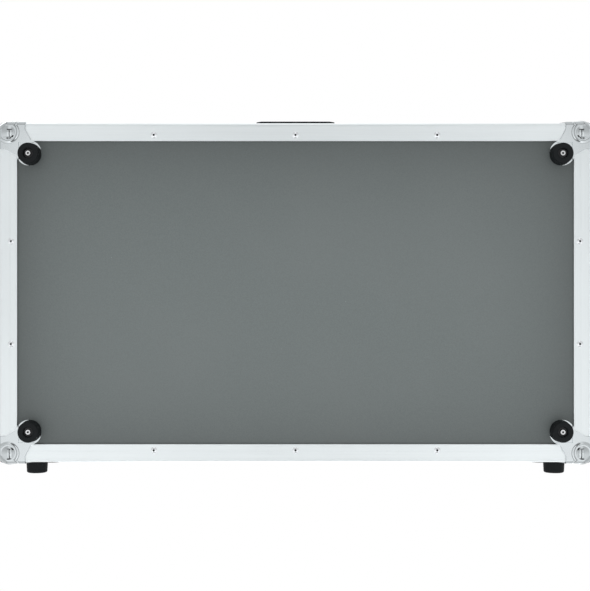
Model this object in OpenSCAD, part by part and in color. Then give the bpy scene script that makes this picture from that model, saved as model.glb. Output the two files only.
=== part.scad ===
// Pedal case: two boxes of laminated plywood held in riveted aluminium angle,
// joined by a tongue and groove rim, stop hinges and recessed turn latches.
// Every size is in millimetres. X is the width, -Y the handle side, +Z up.

/* [Case] */
// Outer width over the aluminium edges
case_w = 720; // [560:10:1000]
// Outer depth over the aluminium edges
case_d = 412; // [300:4:600]
// Height of the base from its edges to the parting plane
base_h = 100; // [98:1:160]
// Height of the lid from its edges to the parting plane
lid_h = 80; // [68:1:140]
// Thickness of the laminated plywood
ply = 7; // [5:0.5:10]

/* [Aluminium edges] */
// Width of each leg of the edge angle
edge_leg = 22; // [18:0.5:24]
// Wall of the edge angle
edge_t = 1.5; // [1:0.1:2]
// Radius of the edge angle's outer corner
edge_r = 3; // [2:0.25:4]
// Width of the raised lip along each leg's free edge
lip_w = 2; // [1:0.25:3]
// Height of that lip
lip_h = 0.4; // [0.2:0.1:0.8]
// Width of the fine grooves along each leg
groove_w = 0.8; // [0.4:0.1:1.2]
// Depth of those grooves
groove_depth = 0.35; // [0.2:0.05:0.6]

/* [Closing rim] */
// Height of the rim's outer flange
rim_outer = 14; // [12:0.5:16]
// Height of the rim's inner flange
rim_inner = 9; // [8:0.5:12]
// Height of the tongue on the base rim
tongue_h = 3; // [2:0.25:3.5]
// Width of the tongue at its root
tongue_w = 2.2; // [1.6:0.1:2.6]
// Clearance on each side of the tongue in its groove
tongue_gap = 0.6; // [0.5:0.05:0.8]
// Gap between the closed base and lid rims
part_gap = 0.4; // [0.3:0.1:0.8]
// Joint between two mitred lengths
mitre_gap = 0.15; // [0.1:0.05:0.4]
// Thickness of the base rim over the wall's edge
rim_web = 2; // [1.5:0.1:3]
// Room over the tongue's tip when the case is closed
groove_room = 0.6; // [0.4:0.1:1]
// Thickness of the lid rim under its groove
groove_floor = 1.8; // [1.5:0.1:3]

/* [Ball corners] */
// Radius of the ball
ball_r = 15.8; // [14:0.2:17]
// Distance of the ball's centre from each outer face
ball_in = 11.5; // [10.5:0.25:12]
// Sheet thickness of the corner plates
corner_t = 1.5; // [1:0.1:2]
// Where the plate's outline crosses the outer edge
plate_edge = 31.6; // [28:0.2:34]
// Where it meets the inner edge of the aluminium
plate_flare = 39.5; // [36:0.5:42]
// Radius of the round tab at the plate's end
tab_r = 15.3; // [14.5:0.1:16]
// How far the tab's centre lies nearer the corner than the foot's axis, along each edge
tab_shift = 1.8; // [0.5:0.1:2]

/* [Feet] */
// Diameter of a foot where it meets the case
foot_d = 27; // [22:0.5:27.5]
// Diameter of its sole
foot_sole_d = 25.2; // [20:0.2:26.6]
// Height of a foot
foot_h = 17; // [12:0.5:20]
// Distance of a foot's axis from the outer faces
foot_inset = 38; // [37.5:0.5:39]
// Distance of a back foot's axis from the case's ends
back_foot_in = 39; // [37.5:0.5:40]
// Diameter of the recess that holds the screw
foot_recess_d = 12; // [11:0.5:14]
// Depth of that recess
foot_recess_depth = 6; // [5:0.5:10]
// Shank diameter of the foot screws
screw_d = 4; // [3:0.25:4.5]

/* [Rivets] */
// Diameter of a rivet head
rivet_head_d = 8; // [6:0.25:9]
// Height of a rivet head
rivet_head_h = 1.5; // [1:0.1:2]
// Shank diameter of the rivets
rivet_d = 4; // [3:0.2:4.8]
// Diameter of the hole left by the mandrel
mandrel_d = 2.6; // [1.6:0.1:3]
// Distance of a rivet row from the outer face
rivet_in = 14.6; // [12:0.2:15]
// Spacing of the rivets along the long edges
rivet_step_x = 172; // [120:2:200]
// Distance of the two short-edge rivets from the middle
rivet_step_y = 62.4; // [40:0.2:80]
// Distance of the rim's rivets from the parting plane
rim_rivet_in = 8.2; // [6:0.2:9]
// Distance of the rim's rivets from the ends of their lengths
rim_rivet_off = 60; // [50:1:80]

/* [Handle] */
// Length of the rubber grip
grip_len = 97; // [85:1:110]
// Thickness of the grip, square to the wall
grip_t = 9.6; // [9:0.2:11]
// Width of the grip along the wall
grip_w = 20; // [18:1:21]
// Diameter of the steel bail
bail_d = 6; // [5:0.25:6.5]
// Distance from the bail's pivot to the grip's axis
bail_drop = 26; // [24:1:28]
// Sheet thickness of the handle's dish
plate_t = 1.2; // [0.8:0.1:1.6]
// Depth of that dish in the front wall
handle_sunk = 2.6; // [1.8:0.1:3.5]
// Gap between the dish's flange and the aluminium above and below it
handle_margin = 2.3; // [1:0.1:4]
// How far the bail swings out
handle_open = 100; // [60:5:110]

/* [Turn latches] */
// Distance of a latch from the middle of the case
latch_x = 215; // [130:5:240]
// Height of the spindle below the parting plane
spindle_drop = 12; // [11.5:0.25:13]
// Diameter of the spindle
spindle_d = 8; // [7:0.5:9]
// Outer radius of the hooked cam
cam_r = 19.4; // [19:0.1:20]
// Cam clearance round the keeper when the latch is drawn tight
cam_grip = 0.4; // [0.3:0.05:0.6]
// How much the cam draws the keeper in over its turn
cam_draw = 1; // [0.5:0.1:1.4]
// Reach of a folded wing from the spindle's axis
wing_reach = 17.5; // [16:0.25:18]
// Thickness of a wing
wing_t = 2; // [1.5:0.1:2.4]
// Inner width of the dish
dish_w = 44; // [42:1:50]
// Depth of the dish
dish_depth = 11; // [11:0.5:13]
// Sheet thickness of the dish
dish_t = 1.2; // [0.8:0.1:1.4]

/* [Hinges] */
// Distance of a hinge from the middle of the case
hinge_x = 215; // [100:5:270]
// Length of a hinge along its pin
hinge_len = 60; // [50:1:80]
// Outer radius of the knuckles
knuckle_r = 4; // [3.5:0.1:4.5]
// Diameter of the hinge pin
hinge_pin_d = 4; // [3:0.2:4.4]
// Height of a hinge leaf
leaf_h = 40; // [34:1:44]
// Angle at which the hinge stops the lid
lid_open = 105; // [100:1:110]

/* [Inside] */
// Height of the supports under the pedal board
batten_h = 12; // [8:1:30]
// Thickness of the pedal board
board_t = 9; // [6:1:12]
// Thickness of its loop carpet
carpet_t = 4; // [2:0.5:6]
// Thickness of the foam in the lid
foam_t = 15; // [10:1:25]

/* [Hidden] */
$fn = 40;

eps = 0.01;
fit = 0.05;              // running clearance round a pin or shaft
free = 0.3;              // clearance between pieces that only pass each other
aluminium = [0.87, 0.89, 0.91];
zinc = [0.80, 0.81, 0.82];
laminate = [0.40, 0.42, 0.42];
rubber = [0.12, 0.13, 0.14];

half_w = case_w / 2;
half_d = case_d / 2;
skin = edge_t + ply;     // outer face to inner face of a wall
rim_flange = edge_t;     // flanges of the rims
groove_h = tongue_h - part_gap + groove_room;
lid_web = groove_h + groove_floor;
lip_rise = lip_h;        // plates sit on the raised lip
base_z = foot_h;
part_z = base_z + base_h;
lid_top = part_z + part_gap + lid_h;

// Front and back reach of everything, so that the origin is the middle of the whole
wall_y = half_d - edge_t;
handle_floor = wall_y - handle_sunk;
grip_lift = 0.4;         // between the folded grip and the dish
bail_y = handle_floor + plate_t + grip_lift + grip_t / 2;
front_reach = bail_y + grip_t / 2;
back_reach = half_d + foot_h;
shift_y = (front_reach - back_reach) / 2;

// ---------- frames and helpers ----------

// The base's and the lid's own frames: Z = 0 is the outer face, Z = h the parting plane
module in_base() {
    translate([0, shift_y, base_z]) children();
}

module in_lid() {
    translate([0, shift_y, lid_top]) mirror([0, 0, 1]) children();
}

// Each of the four corners of a half, with X, Y and Z pointing into the case
module at_corner(sx, sy) {
    mirror([sx < 0 ? 0 : 1, 0, 0]) mirror([0, sy < 0 ? 0 : 1, 0])
        translate([-half_w, -half_d, 0]) children();
}

module at_corners(signs = [[-1, -1], [1, -1], [-1, 1], [1, 1]]) {
    for (s = signs) at_corner(s[0], s[1]) children();
}

// What the ball takes off the case's corner: everything outside a slanting plane
corner_cut = sqrt(3) * (sqrt(3) * ball_in - ball_r + corner_t);

module corner_block() {
    size = 60;
    rotate([0, acos(1 / sqrt(3)), 45])
        translate([-size / 2, -size / 2, corner_cut / sqrt(3) - size]) cube(size);
}

module corner_cuts() {
    at_corners() corner_block();
}

// A rounded rectangle made of squares and circles, centred on X and Y
module round_rect(w, h, r) {
    square([w - 2 * r, h], center = true);
    square([w, h - 2 * r], center = true);
    for (sx = [-1, 1], sy = [-1, 1])
        translate([sx * (w / 2 - r), sy * (h / 2 - r)]) circle(r);
}

// A rivet along -Z: domed head outside Z = 0, shank inside
module rivet(grip) {
    dome_r = (pow(rivet_head_d / 2, 2) + pow(rivet_head_h, 2)) / (2 * rivet_head_h);
    difference() {
        union() {
            intersection() {
                translate([0, 0, dome_r - rivet_head_h]) sphere(dome_r);
                translate([0, 0, -rivet_head_h]) cylinder(d = rivet_head_d, h = rivet_head_h);
            }
            cylinder(d = rivet_d, h = grip);
        }
        translate([0, 0, -rivet_head_h - 1]) cylinder(d = mandrel_d, h = rivet_head_h + 2.2);
    }
}

module rivet_hole(grip) {
    translate([0, 0, -2]) cylinder(d = rivet_d, h = grip + 2);
}

// ---------- edge angle ----------

// Section of the angle: outer faces on X = 0 and Y = 0, rounded outer corner, raised lips
module edge_section() {
    difference() {
        union() {
            translate([edge_r, 0]) square([edge_leg - edge_r, edge_t]);
            translate([0, edge_r]) square([edge_t, edge_leg - edge_r]);
            intersection() {
                translate([edge_r, edge_r]) circle(edge_r);
                square(edge_r);
            }
            translate([edge_t, edge_t]) square(edge_r - edge_t + eps);
            for (m = [0, 1]) mirror(m == 0 ? [0, 0] : [1, -1])
                translate([edge_leg - lip_w, -lip_h]) lip();
        }
        translate([edge_t, edge_t]) square(edge_leg);
        for (m = [0, 1], at = [0.17, 0.6]) mirror(m == 0 ? [0, 0] : [1, -1])
            translate([at * edge_leg, -eps]) square([groove_w, groove_depth + eps]);
    }
}

module lip() {
    translate([lip_h, 0]) square([lip_w - 2 * lip_h, lip_h + edge_t]);
    translate([0, lip_h]) square([lip_w, edge_t]);
    for (x = [lip_h, lip_w - lip_h]) translate([x, lip_h]) circle(lip_h);
}

// Mitre for an edge that runs along X: kept where it is nearer its own corner line
module mitre_x(length, k) {
    g = mitre_gap / sqrt(2);
    shape = [[g, 0], [length - g, 0], [length - k - g, k], [k + g, k]];
    intersection() {
        translate([-length / 2, -half_d, -5]) linear_extrude(k + 10) polygon(shape);
        translate([-length / 2, -half_d + k + 5, 0]) rotate([90, 0, 0]) linear_extrude(k + 10) polygon(shape);
    }
}

module lip_room(length, k) {
    // the raised lips stand outside the mitre's planes
    translate([-length / 2 + edge_leg, -half_d - 2, -2])
        cube([length - 2 * edge_leg, k + 2, k + 2]);
}

module edge_along_x(length) {
    k = edge_leg + 1;
    intersection() {
        translate([-length / 2, -half_d, 0]) rotate([90, 0, 90]) linear_extrude(length) edge_section();
        union() {
            mitre_x(length, k);
            lip_room(length, k);
        }
    }
}

module long_edges() {
    for (m = [0, 1]) mirror([0, m, 0]) edge_along_x(case_w);
}

module short_edges() {
    for (m = [0, 1]) mirror([m, 0, 0])
        translate([-half_w, 0, 0]) rotate([0, 0, -90]) translate([0, half_d, 0])
            edge_along_x(case_d);
}

// Upright angles at the four corners, mitred into the edges below and cut square at the rim
module corner_posts(h) {
    k = edge_leg + 1;
    top = h - rim_outer;
    g = mitre_gap / sqrt(2);
    shape = [[0, g], [k, k + g], [k, top], [0, top]];
    at_corners() intersection() {
        linear_extrude(top) edge_section();
        union() {
            intersection() {
                translate([0, k, 0]) rotate([90, 0, 0]) linear_extrude(k) polygon(shape);
                rotate([90, 0, 90]) linear_extrude(k) polygon(shape);
            }
            translate([-2, -2, edge_leg + mitre_gap]) cube([k + 2, k + 2, top - edge_leg]);
        }
    }
}

// ---------- plywood ----------

module panel_blank() {
    difference() {
        translate([-half_w + edge_t, -half_d + edge_t, edge_t])
            cube([case_w - 2 * edge_t, case_d - 2 * edge_t, ply]);
        corner_cuts();
        face_rivet_spots() rivet_hole(skin + 1);
    }
}

module front_wall_blank(h, web) {
    translate([-half_w + edge_t, -half_d + edge_t, skin])
        cube([case_w - 2 * edge_t, ply, h - web - skin]);
}

module side_wall_blank(h, web) {
    translate([-half_w + edge_t, -half_d + skin, skin])
        cube([ply, case_d - 2 * skin, h - web - skin]);
}

// ---------- closing rim ----------

// Section of the base rim: X inwards from the outer face, Y up, Y = 0 the parting plane
module tongue_section() {
    mid = skin / 2 + edge_t / 2;
    translate([0, -rim_outer]) square([rim_flange, rim_outer]);
    translate([0, -rim_web]) square([skin + rim_flange, rim_web]);
    translate([skin, -rim_inner]) square([rim_flange, rim_inner]);
    polygon([[mid - tongue_w / 2, -eps], [mid + tongue_w / 2, -eps],
        [mid + tongue_w / 4, tongue_h], [mid - tongue_w / 4, tongue_h]]);
}

// Section of the lid rim, seen the same way in the lid's own frame
module groove_section() {
    mid = skin / 2 + edge_t / 2;
    slot = tongue_w + 2 * tongue_gap;
    difference() {
        union() {
            translate([0, -rim_outer]) square([rim_flange, rim_outer]);
            translate([0, -lid_web]) square([skin + rim_flange, lid_web]);
            translate([skin, -rim_inner]) square([rim_flange, rim_inner]);
        }
        translate([mid - slot / 2, -groove_h]) square([slot, groove_h + 1]);
    }
}

rim_pass = rim_outer + rim_inner + tongue_h;   // what cuts right through a rim reaches this far

module rim_side(length, depth) {
    k = skin + rim_flange + 1;
    g = mitre_gap / sqrt(2);
    intersection() {
        translate([-length / 2, -depth / 2, 0]) rotate([90, 0, 90]) linear_extrude(length) children();
        translate([0, -depth / 2, -rim_pass]) linear_extrude(2 * rim_pass)
            polygon([[-length / 2 + g, 0], [length / 2 - g, 0],
                [length / 2 - k - g, k], [-length / 2 + k + g, k]]);
    }
}

// All four lengths; the front one stops either side of each latch dish
module rim_frame(h) {
    translate([0, 0, h]) difference() {
        for (a = [0, 180]) rotate([0, 0, a]) rim_side(case_w, case_d) children();
        for (sx = [-1, 1]) translate([sx * latch_x - flange_w / 2, -half_d - 1, -rim_pass])
            cube([flange_w, skin + rim_flange + 2, 2 * rim_pass]);
    }
    translate([0, 0, h]) for (a = [90, 270]) rotate([0, 0, a]) rim_side(case_d, case_w) children();
}

// ---------- ball corners ----------

plate_reach = foot_inset + tab_r + 20;

module plate_outline() {
    out = lip_rise + corner_t;
    at = foot_inset - tab_shift;
    bent = edge_leg / 3;
    polygon([[-out, -out], [plate_edge, -out], [plate_edge, bent], [plate_flare, edge_leg],
        [at + tab_r * cos(45), at - tab_r * sin(45)],
        [at - tab_r * sin(45), at + tab_r * cos(45)],
        [edge_leg, plate_flare], [bent, plate_edge], [-out, plate_edge]]);
    translate([at, at]) circle(tab_r);
}

// One of the three plates: over the aluminium it lies outside, then steps down to the panel
module corner_plate(hole_d, hole_x = foot_inset) {
    step = edge_leg + free;
    inner = step + corner_t;
    out = lip_rise + corner_t;
    intersection() {
        translate([0, 0, -out]) linear_extrude(out + edge_t) difference() {
            plate_outline();
            translate([hole_x, foot_inset]) circle(d = hole_d);
        }
        union() {
            difference() {
                translate([-out, -out, -out]) cube([plate_reach, plate_reach, corner_t]);
                translate([inner, inner, -2 * out]) cube(plate_reach);
            }
            difference() {
                translate([step, step, -out]) cube([plate_reach, plate_reach, out + edge_t]);
                translate([inner, inner, -2 * out]) cube([plate_reach, plate_reach, 2 * out]);
            }
        }
    }
}

// The whole corner: three plates with rounded arrises, and the hollow ball
module ball_corner(bottom_d, back_d, back_in = foot_inset) {
    out = lip_rise + corner_t;
    round_r = edge_r + corner_t;
    intersection() {
        difference() {
            union() {
                corner_plate(bottom_d);
                multmatrix([[0, 0, 1, 0], [1, 0, 0, 0], [0, 1, 0, 0], [0, 0, 0, 1]])
                    corner_plate(rivet_d);
                multmatrix([[1, 0, 0, 0], [0, 0, 1, 0], [0, 1, 0, 0], [0, 0, 0, 1]])
                    corner_plate(back_d, back_in);
            }
            translate([ball_in, ball_in, ball_in]) sphere(ball_r - corner_t);
            corner_block();
        }
        rounded_arrises(out, round_r);
    }
    difference() {
        translate([ball_in, ball_in, ball_in]) sphere(ball_r);
        translate([ball_in, ball_in, ball_in]) sphere(ball_r - corner_t);
        case_octant();
    }
}

// The room that the trimmed corner of the case fills
module case_octant() {
    difference() {
        translate([-lip_rise, -lip_rise, -lip_rise]) cube(plate_reach);
        corner_block();
    }
}

module rounded_arrises(out, r) {
    reach = plate_reach;
    intersection() {
        translate([0, 0, -out]) linear_extrude(reach) arris_square(out, r, reach);
        translate([0, reach, 0]) rotate([90, 0, 0]) linear_extrude(reach + out) arris_square(out, r, reach);
        translate([-out, 0, 0]) rotate([90, 0, 90]) linear_extrude(reach) arris_square(out, r, reach);
    }
}

module arris_square(out, r, reach) {
    translate([-out + r, -out]) square([reach, reach]);
    translate([-out, -out + r]) square([reach, reach]);
    translate([-out + r, -out + r]) circle(r);
}

module ball_corners() {
    at_corners([[-1, -1], [1, -1]]) ball_corner(screw_hole, rivet_d);
    at_corners([[-1, 1], [1, 1]]) ball_corner(screw_hole, screw_hole, back_foot_in);
}

module lid_ball_corners_all() {
    at_corners([[-1, -1], [1, -1]]) ball_corner(rivet_d, rivet_d);
    at_corners([[-1, 1], [1, 1]]) ball_corner(rivet_d, screw_hole, back_foot_in);
}

// ---------- where the rivets go ----------

// Along the outer (bottom or top) face, as the photograph shows them
module face_rivet_spots() {
    for (x = [-1, 0, 1], sy = [-1, 1])
        translate([x * rivet_step_x, sy * (half_d - rivet_in), 0]) children();
    for (sx = [-1, 1], y = [-1, 1])
        translate([sx * (half_w - rivet_in), y * rivet_step_y, 0]) children();
}

// Along the walls, through the other leg of the same edges
module front_rivet_spots(xs = [-1, 0, 1]) {
    for (x = xs) translate([x * rivet_step_x, -half_d, rivet_in]) rotate([-90, 0, 0]) children();
}

module side_rivet_spots() {
    for (y = [-1, 1]) translate([-half_w, y * rivet_step_y, rivet_in]) rotate([0, 90, 0]) children();
}

// Through the outer flange of the rim
module rim_front_spots(h, xs) {
    for (x = xs) translate([x, -half_d, h - rim_rivet_in]) rotate([-90, 0, 0]) children();
}

module rim_side_spots(h) {
    for (y = [-1, 1]) translate([-half_w, y * rivet_step_y * 2, h - rim_rivet_in])
        rotate([0, 90, 0]) children();
}

rim_end = half_w - rim_rivet_off;
rim_latch = latch_x - rim_rivet_off;
rim_front_xs = [-rim_end, -rim_latch, 0, rim_latch, rim_end];
rim_back_xs = [-rim_end, 0, rim_end];

// ---------- feet ----------

screw_hole = screw_d + 0.2;
foot_web = foot_h - foot_recess_depth;
washer_t = 1.2;

// A foot along -Z from the case's face
module foot() {
    r_top = foot_d / 2;
    r_sole = foot_sole_d / 2;
    fillet = 2;
    rotate_extrude() difference() {
        polygon(concat(
            [[screw_hole / 2, 0], [r_top, 0]],
            [for (a = [0:15:90]) [r_sole - fillet + fillet * cos(a), -foot_h + fillet - fillet * sin(a)]],
            [[foot_recess_d / 2 + 1, -foot_h], [foot_recess_d / 2, -foot_h + 1],
                [foot_recess_d / 2, -foot_web], [screw_hole / 2, -foot_web]]));
        translate([r_top + 0.9, -3.5]) circle(1.3);
    }
}

module foot_washer() {
    translate([0, 0, -foot_web - washer_t]) difference() {
        cylinder(d = foot_recess_d - 1, h = washer_t);
        translate([0, 0, -1]) cylinder(d = screw_hole, h = washer_t + 2);
    }
}

module foot_screw() {
    head_d = 7;
    head_h = 2.6;
    socket_d = 2.8;
    head_z = -foot_web - washer_t;
    difference() {
        union() {
            translate([0, 0, head_z - head_h / 2]) cylinder(d = head_d, h = head_h / 2);
            translate([0, 0, head_z - head_h]) cylinder(d1 = head_d - 1.2, d2 = head_d, h = head_h / 2);
            translate([0, 0, head_z - eps]) cylinder(d = screw_d, h = -head_z + skin - 1);
        }
        translate([0, 0, head_z - head_h - 1]) cylinder(d = socket_d, h = 1 + head_h * 0.7, $fn = 6);
    }
}

module screw_bore() {
    translate([0, 0, -5]) cylinder(d = screw_hole, h = 5 + skin - 1 + free);
}

module bottom_feet_spots() {
    at_corners() translate([foot_inset, foot_inset, 0]) children();
}

module back_feet_spots() {
    at_corners([[-1, 1], [1, 1]]) translate([back_foot_in, 0, foot_inset]) rotate([-90, 0, 0]) children();
}

// ---------- turn latch ----------
// Latch frame: X across, Y outwards from the dish's floor, Z up from the spindle's axis

flange_side = dish_t + rivet_head_d + 1;
flange_w = dish_w + 2 * flange_side;
dish_rivet_x = dish_w / 2 + dish_t + 0.4 + rivet_head_d / 2;
cam_room = 2;
flange_edge = 6;
dish_down = spindle_drop + cam_r + cam_room;
dish_up = cam_r - spindle_drop + cam_room;
flange_down = dish_down + dish_t + flange_edge;
flange_up = dish_up + dish_t + flange_edge;
floor_y = wall_y - dish_depth;
keeper_z = spindle_drop + part_gap + 0.6;
keeper_top = keeper_z + 2;
keeper_half = 5;
cam_floor = 0.8;
cam_t = 3;
cam_r_in = sqrt(pow(keeper_half, 2) + pow(keeper_top, 2)) + cam_grip;
wing_y = cam_floor + cam_t + 4;
wing_pin_x = 3;
wing_pin_d = 2.4;
wing_half = 7.4;
cheek_z = wing_half + free;
cheek_t = 2;
cheek_half = 6;

module at_latch(side) {
    translate([side * latch_x, -floor_y, base_h - spindle_drop]) mirror([0, 1, 0]) children();
}

module both_latches() {
    for (side = [-1, 1]) at_latch(side) children();
}

// A tray below (or above) the parting plane, drawn in X and Z
module dish(down_or_up, flange_len, pocket_len) {
    pocket_r = 5;
    difference() {
        union() {
            translate([0, dish_depth, 0]) tray_slab(flange_w, flange_len, 3, dish_t, down_or_up);
            translate([0, -dish_t, 0])
                tray_slab(dish_w + 2 * dish_t, pocket_len + dish_t, pocket_r + dish_t,
                    dish_depth + dish_t + eps, down_or_up);
        }
        tray_slab(dish_w, pocket_len, pocket_r, dish_depth + dish_t + 1, down_or_up, 1);
    }
}

// A slab in X and Z, Y thick, from the parting plane away by len; extra runs past the plane
module tray_slab(w, len, r, thick, dir, extra = 0) {
    translate([0, thick, 0]) rotate([90, 0, 0]) linear_extrude(thick) intersection() {
        translate([0, spindle_drop + dir * (len - 30) / 2]) round_rect(w, len + 30, r);
        translate([-w, dir < 0 ? spindle_drop - len - 1 : spindle_drop - extra])
            square([2 * w, len + 1 + extra]);
    }
}

module base_dish() {
    difference() {
        dish(-1, flange_down, dish_down);
        translate([0, dish_t, 0]) rotate([90, 0, 0]) cylinder(d = spindle_d + 2 * fit, h = 4 * dish_t);
        base_dish_rivet_spots() rivet_hole(4);
    }
}

module base_dish_rivet_spots() {
    for (sx = [-1, 1], z = [spindle_drop - 8, spindle_drop - flange_down + 5])
        translate([sx * dish_rivet_x, dish_depth + dish_t, z]) rotate([90, 0, 0]) children();
}

module lid_dish_rivet_spots() {
    for (sx = [-1, 1])
        translate([sx * dish_rivet_x, dish_depth + dish_t, spindle_drop + part_gap + flange_up - 5])
            rotate([90, 0, 0]) children();
}

// The lid's tray carries the keeper tab that the cam closes over
module lid_dish() {
    difference() {
        translate([0, 0, part_gap]) dish(1, flange_up, dish_up);
        lid_dish_rivet_spots() rivet_hole(4);
    }
    translate([-keeper_half, -eps, keeper_z])
        cube([2 * keeper_half, cam_floor + cam_t + 0.6, keeper_top - keeper_z]);
}

module dish_cut(down, up) {
    translate([-dish_w / 2 - dish_t - 0.2, -dish_t - 1, spindle_drop - down])
        cube([dish_w + 2 * dish_t + 0.4, dish_depth + 5, down + up]);
}

// A turned length about the spindle's axis, from y back towards the dish's floor
module turned(y, len) {
    translate([0, y, 0]) rotate([90, 0, 0]) linear_extrude(len) children();
}

// Shaft with a shoulder behind the cam, a collar behind the dish and cheeks for the wing pins
module spindle() {
    disc_y = cam_floor + cam_t;
    disc_t = 1.5;
    end_play = 0.1;
    collar_t = 1.2;
    tail = 2;
    difference() {
        union() {
            turned(disc_y + disc_t / 2, disc_y + disc_t / 2 + dish_t + tail) circle(d = spindle_d);
            turned(cam_floor, cam_floor - end_play) circle(spindle_d / 2 + 2);
            turned(-dish_t - end_play, collar_t) circle(spindle_d / 2 + 2.5);
            turned(disc_y + disc_t, disc_t) circle(cheek_z + cheek_t);
            for (m = [0, 1]) mirror([0, 0, m]) intersection() {
                translate([-cheek_half, disc_y, cheek_z])
                    cube([2 * cheek_half, wing_y - disc_y + wing_pin_d / 2 + 1, cheek_t]);
                turned(2 * wing_y, 2 * wing_y) circle(cheek_z + cheek_t);
            }
        }
        wing_pin_spots() cylinder(d = wing_pin_d, h = 2 * (cheek_z + cheek_t + 1), center = true);
    }
}

module wing_pin_spots() {
    for (sx = [-1, 1]) translate([sx * wing_pin_x, wing_y, 0]) children();
}

module wing_pins() {
    reach = sqrt(pow(cheek_z + cheek_t, 2) - pow(wing_pin_x + wing_pin_d / 2, 2)) - 0.2;
    wing_pin_spots() cylinder(d = wing_pin_d, h = 2 * reach, center = true);
}

// Hooked cam: a spiral inner face that draws the keeper in as the spindle turns.
// Angles run from the top, the way that the latch closes; it rests half a turn open.
cam_half = 50;
cam_arm = 74;

function cam_point(r, a) = [r * sin(a), r * cos(a)];

module cam() {
    turned = 180;
    outer = [for (a = [-cam_arm:4:cam_half]) cam_point(cam_r, a + turned)];
    inner = [for (a = [cam_half:-4:-cam_half])
        cam_point(cam_r_in + cam_draw * (a + cam_half) / (2 * cam_half), a + turned)];
    root = [for (a = [-cam_half, -cam_arm]) cam_point(spindle_d / 2 + 2, a + turned)];
    difference() {
        union() {
            turned(cam_floor + cam_t, cam_t) polygon(concat(outer, inner, root));
            turned(cam_floor + cam_t, cam_t) circle(spindle_d / 2 + 3.5);
        }
        turned(cam_floor + cam_t + 1, cam_t + 2) circle(d = spindle_d);
    }
}

// One folded wing on the +X side: a barrel round its pin and a thumb plate with a rounded end
module wing() {
    barrel_r = wing_pin_d / 2 + 1;
    difference() {
        union() {
            translate([wing_pin_x, wing_y, 0]) cylinder(r = barrel_r, h = 2 * wing_half, center = true);
            turned(wing_y + barrel_r, wing_t) wing_outline();
            turned(wing_y + barrel_r, wing_t + 0.8) difference() {
                wing_rim();
                square([2 * (wing_reach - 6), wing_half], center = true);
            }
        }
        translate([wing_pin_x, wing_y, 0])
            cylinder(d = wing_pin_d + 2 * fit, h = 2 * (wing_half + 1), center = true);
    }
}

module wing_outline() {
    intersection() {
        circle(wing_reach);
        translate([wing_pin_x, -wing_half]) square([wing_reach, 2 * wing_half]);
    }
}

module wing_rim() {
    difference() {
        wing_outline();
        circle(wing_reach - 1.6);
    }
}

// ---------- hinge ----------
// Hinge frame: X along the pin, Y outwards from the case's back face, Z up, origin on the pin

hinge_y = knuckle_r + free;
leaf_t = 1.5;
knuckles = 5;
knuckle_len = hinge_len / knuckles;

module at_hinges() {
    for (side = [-1, 1])
        translate([side * hinge_x, shift_y + half_d + hinge_y, part_z + part_gap / 2]) children();
}

// A leaf on the rim's flange that steps down to the plywood, drawn for the base
module leaf(first) {
    t = leaf_t;
    rim_y = -hinge_y;
    drop = rim_outer + part_gap / 2 + 1;
    difference() {
        union() {
            translate([-hinge_len / 2, 0, 0]) rotate([90, 0, 90]) linear_extrude(hinge_len)
                polygon([[rim_y, 0], [rim_y + t, 0], [rim_y + t, -drop - t],
                    [rim_y, -drop - 2 * t], [rim_y, -leaf_h], [rim_y - edge_t, -leaf_h],
                    [rim_y - edge_t, -drop - t], [rim_y, -drop]]);
            for (i = [first:2:knuckles - 1]) knuckle(i) cylinder(r = knuckle_r, h = knuckle_len - free);
            for (i = [first:2:knuckles - 1])
                translate([-hinge_len / 2 + i * knuckle_len + free / 2, -hinge_y, -knuckle_r])
                    cube([knuckle_len - free, t, knuckle_r]);
        }
        for (i = [1 - first:2:knuckles - 1])
            translate([-hinge_len / 2 + i * knuckle_len - free / 2, -hinge_y - 3, -knuckle_r - 1])
                cube([knuckle_len + free, 20, knuckle_r + 6]);
        rotate([0, 90, 0]) cylinder(d = hinge_pin_d + 2 * fit, h = 2 * hinge_len, center = true);
        translate([-hinge_len, -hinge_y - 3, 0]) cube([2 * hinge_len, hinge_y - knuckle_r + 3, 10]);
    }
}

module knuckle(i) {
    translate([-hinge_len / 2 + i * knuckle_len + free / 2, 0, 0]) rotate([0, 90, 0]) children();
}

module leaf_rivet_spots() {
    in = 9;
    for (sx = [-1, 1]) translate([sx * (hinge_len / 2 - in), -hinge_y, -leaf_h + in])
        rotate([90, 0, 0]) children();
}

// The stop: lugs on the lid's knuckles that meet the base leaf when the lid stands open
lug_t = 2;
lug_len = (hinge_y - leaf_t - 0.1 - lug_t / 2 * sin(lid_open)) / -cos(lid_open);

module stop_lugs() {
    for (i = [1:2:knuckles - 1])
        translate([-hinge_len / 2 + i * knuckle_len + free / 2, knuckle_r - 0.5, -lug_t / 2])
            cube([knuckle_len - free, lug_len - knuckle_r + 0.5, lug_t]);
}

// ---------- base parts ----------

module base_panel() {
    color(laminate) in_base() difference() {
        panel_blank();
        bottom_feet_spots() screw_bore();
    }
}

module base_front_wall() {
    color(laminate) in_base() difference() {
        front_wall_blank(base_h, rim_web);
        both_latches() dish_cut(dish_down + dish_t + 0.2, 30);
        both_latches() base_dish_rivet_spots() rivet_hole(ply + 2);
        front_rivet_spots() rivet_hole(skin + 1);
        rim_front_spots(base_h, rim_front_xs) rivet_hole(skin);
        handle_rivet_spots() rivet_hole(ply + 4);
        handle_slab(handle_floor - free, handle_sunk + 2, plate_t + free);
        at_corners([[-1, -1], [1, -1]]) front_tab_spot() rivet_hole(skin + 1);
    }
}

module front_tab_spot() {
    translate([foot_inset, 0, foot_inset]) rotate([-90, 0, 0]) children();
}

module side_tab_spot() {
    translate([0, foot_inset, foot_inset]) rotate([0, 90, 0]) children();
}

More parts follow.
